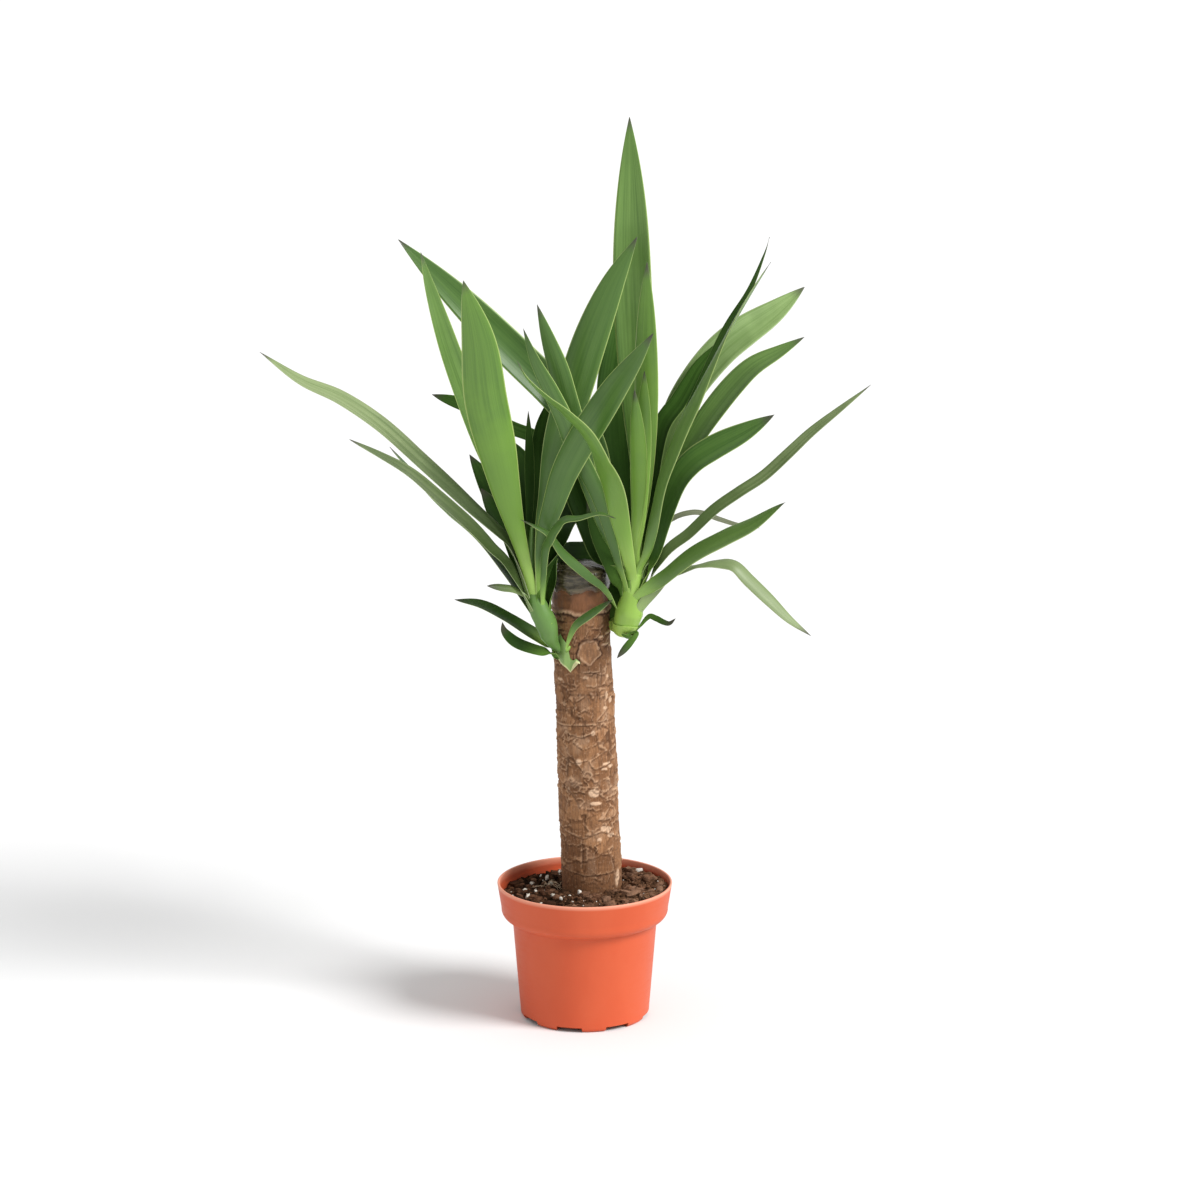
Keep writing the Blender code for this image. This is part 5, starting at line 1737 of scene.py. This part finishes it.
def blackened(x: Array) -> Array:
    """How much darker the mix is at x: fully at the left, and less and less towards the right.

    This is partly painted shade on the side away from the light and partly a moister mix there.
    """
    return 1.0 - smoothstep(-45 * MM, 25 * MM, x)


@dataclass
class PottingMix:
    """The potting mix: a lumpy surface round the cane with crumbs, bark chips, perlite and fibres on it.

    Attributes:
        clods: Size and rise in metres, and seed, of each layer of rounded clods.
    """

    pot: Pot
    cane: Cane
    level: float = 105.0 * MM
    slope: float = 6.5 * MM
    relief: float = 1.6 * MM
    lump: float = 5.1 * MM
    crumb: float = 2.9 * MM
    gap: float = 0.3 * MM
    rings: int = 110
    sides: int = 320
    clods: tuple = ((8.5 * MM, 2.4 * MM, 3), (3.8 * MM, 1.3 * MM, 13), (1.8 * MM, 0.7 * MM, 23))
    fibre_seed: int = 77
    fibre_count: int = 16
    fibre_radius: float = 0.32 * MM

    def height(self, x: Array, y: Array) -> Array:
        """The surface's height: broad lumps, a slope down to the back left, and clods of three sizes."""
        lumps = np.sin(x / self.lump + 1.3) * np.sin(y / (self.lump * 0.85))
        lumps += 0.6 * np.sin((x + y) / self.crumb) * np.sin((x - y) / (self.crumb * 1.25) + 0.7)
        slope = self.slope * (x - y) / (2 * self.pot.rim_radius)
        flat = stacked(x, y, 0.0)
        clods = np.zeros_like(x)
        for size, rise, seed in self.clods:
            near, _, number = cell_pattern(flat / size, seed)
            clods += rise * (0.35 + number) * np.clip(1.0 - near * 1.5, 0.0, 1.0) ** 0.6 - rise * 0.45
        return self.level + self.relief * lumps / 2 + slope + clods

    def spread(self, share: Array, angle: Array, hole: float, wall: float) -> tuple[Array, Array]:
        """The place at this share of the way from the hole round the cane to the pot's wall."""
        radius = hole + (wall - hole) * share
        x = self.cane.x_at_soil * (1 - share) + radius * np.cos(angle)
        return x, self.cane.depth * (1 - share) + radius * np.sin(angle)

    def surface(self) -> Surface:
        """Rings out from the cane's hole over the surface, then down inside the pot's wall to its floor."""
        pot = self.pot
        angle = circle(self.sides)[None, :]
        share = np.linspace(0.0, 1.0, self.rings)[:, None]
        wall = pot.rim_radius - pot.wall - self.gap - 1.4 * MM
        x, y = self.spread(share, angle, self.cane.radius_at_soil + self.gap, wall)
        top = stacked(x, y, np.minimum(self.height(x, y), pot.height - 0.5 * MM))
        start = top[:1].copy()
        start[..., 2] = self.cane.foot
        lower = []
        for reach, z in (
            (pot.rim_foot_radius - pot.wall - 2 * self.gap, pot.rim_foot),
            (pot.body_radius - pot.wall - 2 * self.gap, pot.body_top - self.gap),
            (pot.base_radius - pot.wall - 3 * MM, pot.floor + self.gap),
        ):
            lower.append(stacked(reach * np.cos(angle), reach * np.sin(angle), z))
        points = np.concatenate((start, top, *lower), axis=0)
        # Darker towards the left: partly painted shade, partly a moister mix
        tone = value_noise(points / (2.2 * MM), 33) * 0.7 - 0.7 * blackened(points[..., 0])
        return Surface(points, {"tone": tone})

    def grains(self, kind: GrainKind, name: str, rows: int = 5, sides: int = 8, sharp: float = 50) -> Mesh:
        """Many grains in one mesh, each a rounded block of a few faces.

        A grain is a sphere's grid with each coordinate raised to the boxy power, made uneven by noise,
        stretched to its own sizes, turned at random and laid on the surface.

        Args:
            kind: The kind of grain.
            name: The mesh's name.
            rows: Rings of points in a grain.
            sides: Points round each ring.
            sharp: Edges that turn by more degrees than this stay sharp.
        """
        draw = np.random.default_rng(kind.seed)
        count = kind.count
        wall = self.pot.rim_radius - self.pot.wall - 3.0 * MM
        turn = draw.uniform(0, math.tau, count)
        share = np.sqrt(draw.uniform(0.0, 1.0, count))
        x, y = self.spread(share, turn, self.cane.radius_at_soil + 1.5 * MM, wall)
        if kind.spots:
            x[:len(kind.spots)], y[:len(kind.spots)] = (np.array(kind.spots) * MM).T
        inward = np.minimum(1.0, (wall - 1.6 * kind.largest + 3.0 * MM) / np.hypot(x, y))
        x, y = x * inward, y * inward
        polar = np.linspace(0.22, math.pi - 0.22, rows)[:, None]
        azimuth = circle(sides)[None, :]
        ball = stacked(np.sin(polar) * np.cos(azimuth), np.sin(polar) * np.sin(azimuth), np.cos(polar))
        ball = np.sign(ball) * np.abs(ball) ** kind.boxy
        shape = ball[None] * (1 + kind.rough * draw.uniform(-1, 1, (count, rows, sides, 1)))
        size = kind.smallest + (kind.largest - kind.smallest) * draw.uniform(0, 1, (count, 1)) ** 2.2
        sizes = size * stacked(draw.uniform(0.9, 1.7, count), draw.uniform(0.6, 1.0, count), kind.flatness)
        shape = shape * sizes[:, None, None, :]
        yaw, tilt = draw.uniform(0, math.tau, count), draw.normal(0, 0.35, count)
        cos, sin = np.cos(tilt), np.sin(tilt)
        lean = stacked(cos, 0.0, sin, 0.0, 1.0, 0.0, -sin, 0.0, cos).reshape(-1, 3, 3)
        cos, sin = np.cos(yaw), np.sin(yaw)
        spin = stacked(cos, -sin, 0.0, sin, cos, 0.0, 0.0, 0.0, 1.0).reshape(-1, 3, 3)
        shape = np.einsum("nij,nrsj->nrsi", spin @ lean, shape)
        lift = self.height(x, y) + 0.35 * sizes[:, 2] + kind.rise
        shape += stacked(x, y, lift)[:, None, None, :]
        block = rows * sides
        offsets = np.arange(count)[:, None, None] * block
        faces = (grid_quads(rows, sides)[None] + offsets).reshape(-1, 4).tolist()
        ring = np.arange(sides)
        faces += (ring[::-1][None] + offsets[:, 0]).tolist()
        faces += (ring[None] + block - sides + offsets[:, 0]).tolist()
        mesh = solid_mesh(name, shape, faces, sharp)
        # Darker towards the left: partly painted shade, partly a moister mix
        store(mesh, "tone", np.repeat(draw.uniform(0, 1, count) - 0.8 * blackened(x), block))
        return mesh

    def fibres(self, name: str, steps: int = 12, sides: int = 6) -> Mesh:
        """Loose root fibres: thin tubes along short bowed routes beside the cane's left side."""
        draw = np.random.default_rng(self.fibre_seed)
        parts = []
        for index in range(self.fibre_count):
            x, y = draw.uniform(-34, -16) * MM, draw.uniform(2, 26) * MM
            heading, length = draw.uniform(0, math.pi), draw.uniform(6, 13) * MM
            t = np.linspace(0, 1, steps)[:, None]
            step = np.array([math.cos(heading), math.sin(heading)])
            bow = np.array([-step[1], step[0]]) * 2.2 * MM * np.sin(math.pi * t)
            flat = np.array([x, y]) + step * length * t + bow
            z = self.height(flat[:, 0], flat[:, 1]) + (0.5 + 2.0 * np.sin(math.pi * t[:, 0])) * MM
            spine = np.column_stack((flat, z))
            cos, sin = np.cos(circle(sides)), np.sin(circle(sides))
            ring = stacked(cos * step[1], -cos * step[0], sin)
            tube = spine[:, None, :] + ring[None] * self.fibre_radius
            parts.append(Surface(tube, {"tone": np.full((steps, sides), 0.6)}).mesh(f"fibre_{index}"))
        return joined(parts, name)

    def build(self) -> None:
        """Makes the mix and all that lies loose on it."""
        group = grain_pattern()
        gloss = Gloss(specular=0.08, relief=0.5 * MM)
        finishes = {
            name: dressed(name, group, gloss, {"Tone": "tone", "Shade": shade, "Body": body, "Light": light})
            for name, (shade, body, light) in MIX_TINTS.items()
        }
        surface = self.surface().mesh("potting_mix")
        add_piece("potting_mix", surface, finishes["peat"], "potting_mix", "soil")
        for name, kind in GRAINS.items():
            add_piece(name, self.grains(kind, name), finishes[kind.finish], "potting_mix")
        add_piece("root_fibres", self.fibres("root_fibres"), finishes["root_fibres"], "potting_mix")


# The studio


@dataclass
class Studio:
    """A plain pale floor, soft light from the right front, and the camera at the measured viewpoint."""

    floor_half: float = 30.0
    floor_grey: float = 0.9
    sun_elevation: float = math.radians(40.0)
    sun_bearing: float = math.radians(-28.0)
    sun_strength: float = 3.0
    sun_angle: float = math.radians(25.0)
    sky: float = 0.6
    sky_seen: float = 1.1
    focal: float = 131.25
    sensor: float = 36.0
    farthest: float = 100.0

    def floor(self) -> None:
        """A square of floor."""
        corner = np.array([(-1, -1, 0), (1, -1, 0), (1, 1, 0), (-1, 1, 0)], dtype=float) * self.floor_half
        mesh = bpy.data.meshes.new("floor")
        mesh.from_pydata(corner.tolist(), [], [(0, 1, 2, 3)])
        material = bpy.data.materials.new("pale_floor")
        material.use_nodes = True
        surface = material.node_tree.nodes["Principled BSDF"]
        surface.inputs["Base Color"].default_value = (self.floor_grey, self.floor_grey, self.floor_grey, 1.0)
        surface.inputs["Roughness"].default_value = 0.9
        surface.inputs["Specular IOR Level"].default_value = 0.0
        mesh.materials.append(material)
        floor = linked("floor", mesh)

    def sun(self) -> None:
        """The key light: it shines from the right front and its wide disc softens the shadows."""
        lamp = bpy.data.lights.new("key", "SUN")
        lamp.energy = self.sun_strength
        lamp.angle = self.sun_angle
        turn = (math.pi / 2 - self.sun_elevation, 0.0, math.pi / 2 + self.sun_bearing)
        linked("key", lamp).rotation_euler = turn

    def backdrop(self) -> None:
        """An even pale sky: white to the camera, softer as a light."""
        world = bpy.data.worlds.new("studio")
        world.use_nodes = True
        graph = Graph(world.node_tree)
        seen = graph.node("ShaderNodeLightPath").outputs["Is Camera Ray"]
        background = world.node_tree.nodes["Background"]
        graph.feed(background.inputs["Strength"], graph.ramp(seen, 0.0, 1.0, self.sky, self.sky_seen))
        background.inputs["Color"].default_value = (1.0, 1.0, 1.0, 1.0)
        bpy.context.scene.world = world
        bpy.context.scene.view_settings.view_transform = "Standard"

    def camera(self) -> None:
        """The camera at the viewpoint, pitched down, with the whole part in its square frame."""
        lens = bpy.data.cameras.new("camera")
        lens.lens = self.focal
        lens.sensor_width = self.sensor
        lens.clip_end = self.farthest
        camera = linked("camera", lens)
        camera.location = tuple(SIGHT.eye * MM)
        camera.rotation_euler = (math.pi / 2 - SIGHT.pitch, 0.0, 0.0)
        bpy.context.scene.camera = camera

    def build(self) -> None:
        """Sets up the floor, the lights and the camera."""
        self.floor()
        self.sun()
        self.backdrop()
        self.camera()


def main() -> None:
    """Builds the studio and then every sub-assembly in order."""
    logging.basicConfig(level=logging.INFO, format="%(name)s: %(message)s")
    Studio().build()
    cane = Cane()
    pot = Pot()
    pot.build()
    PottingMix(pot, cane).build()
    cane.build()
    WaxCap(cane).build()
    Foliage(cane).build()


if __name__ == "__main__":
    main()
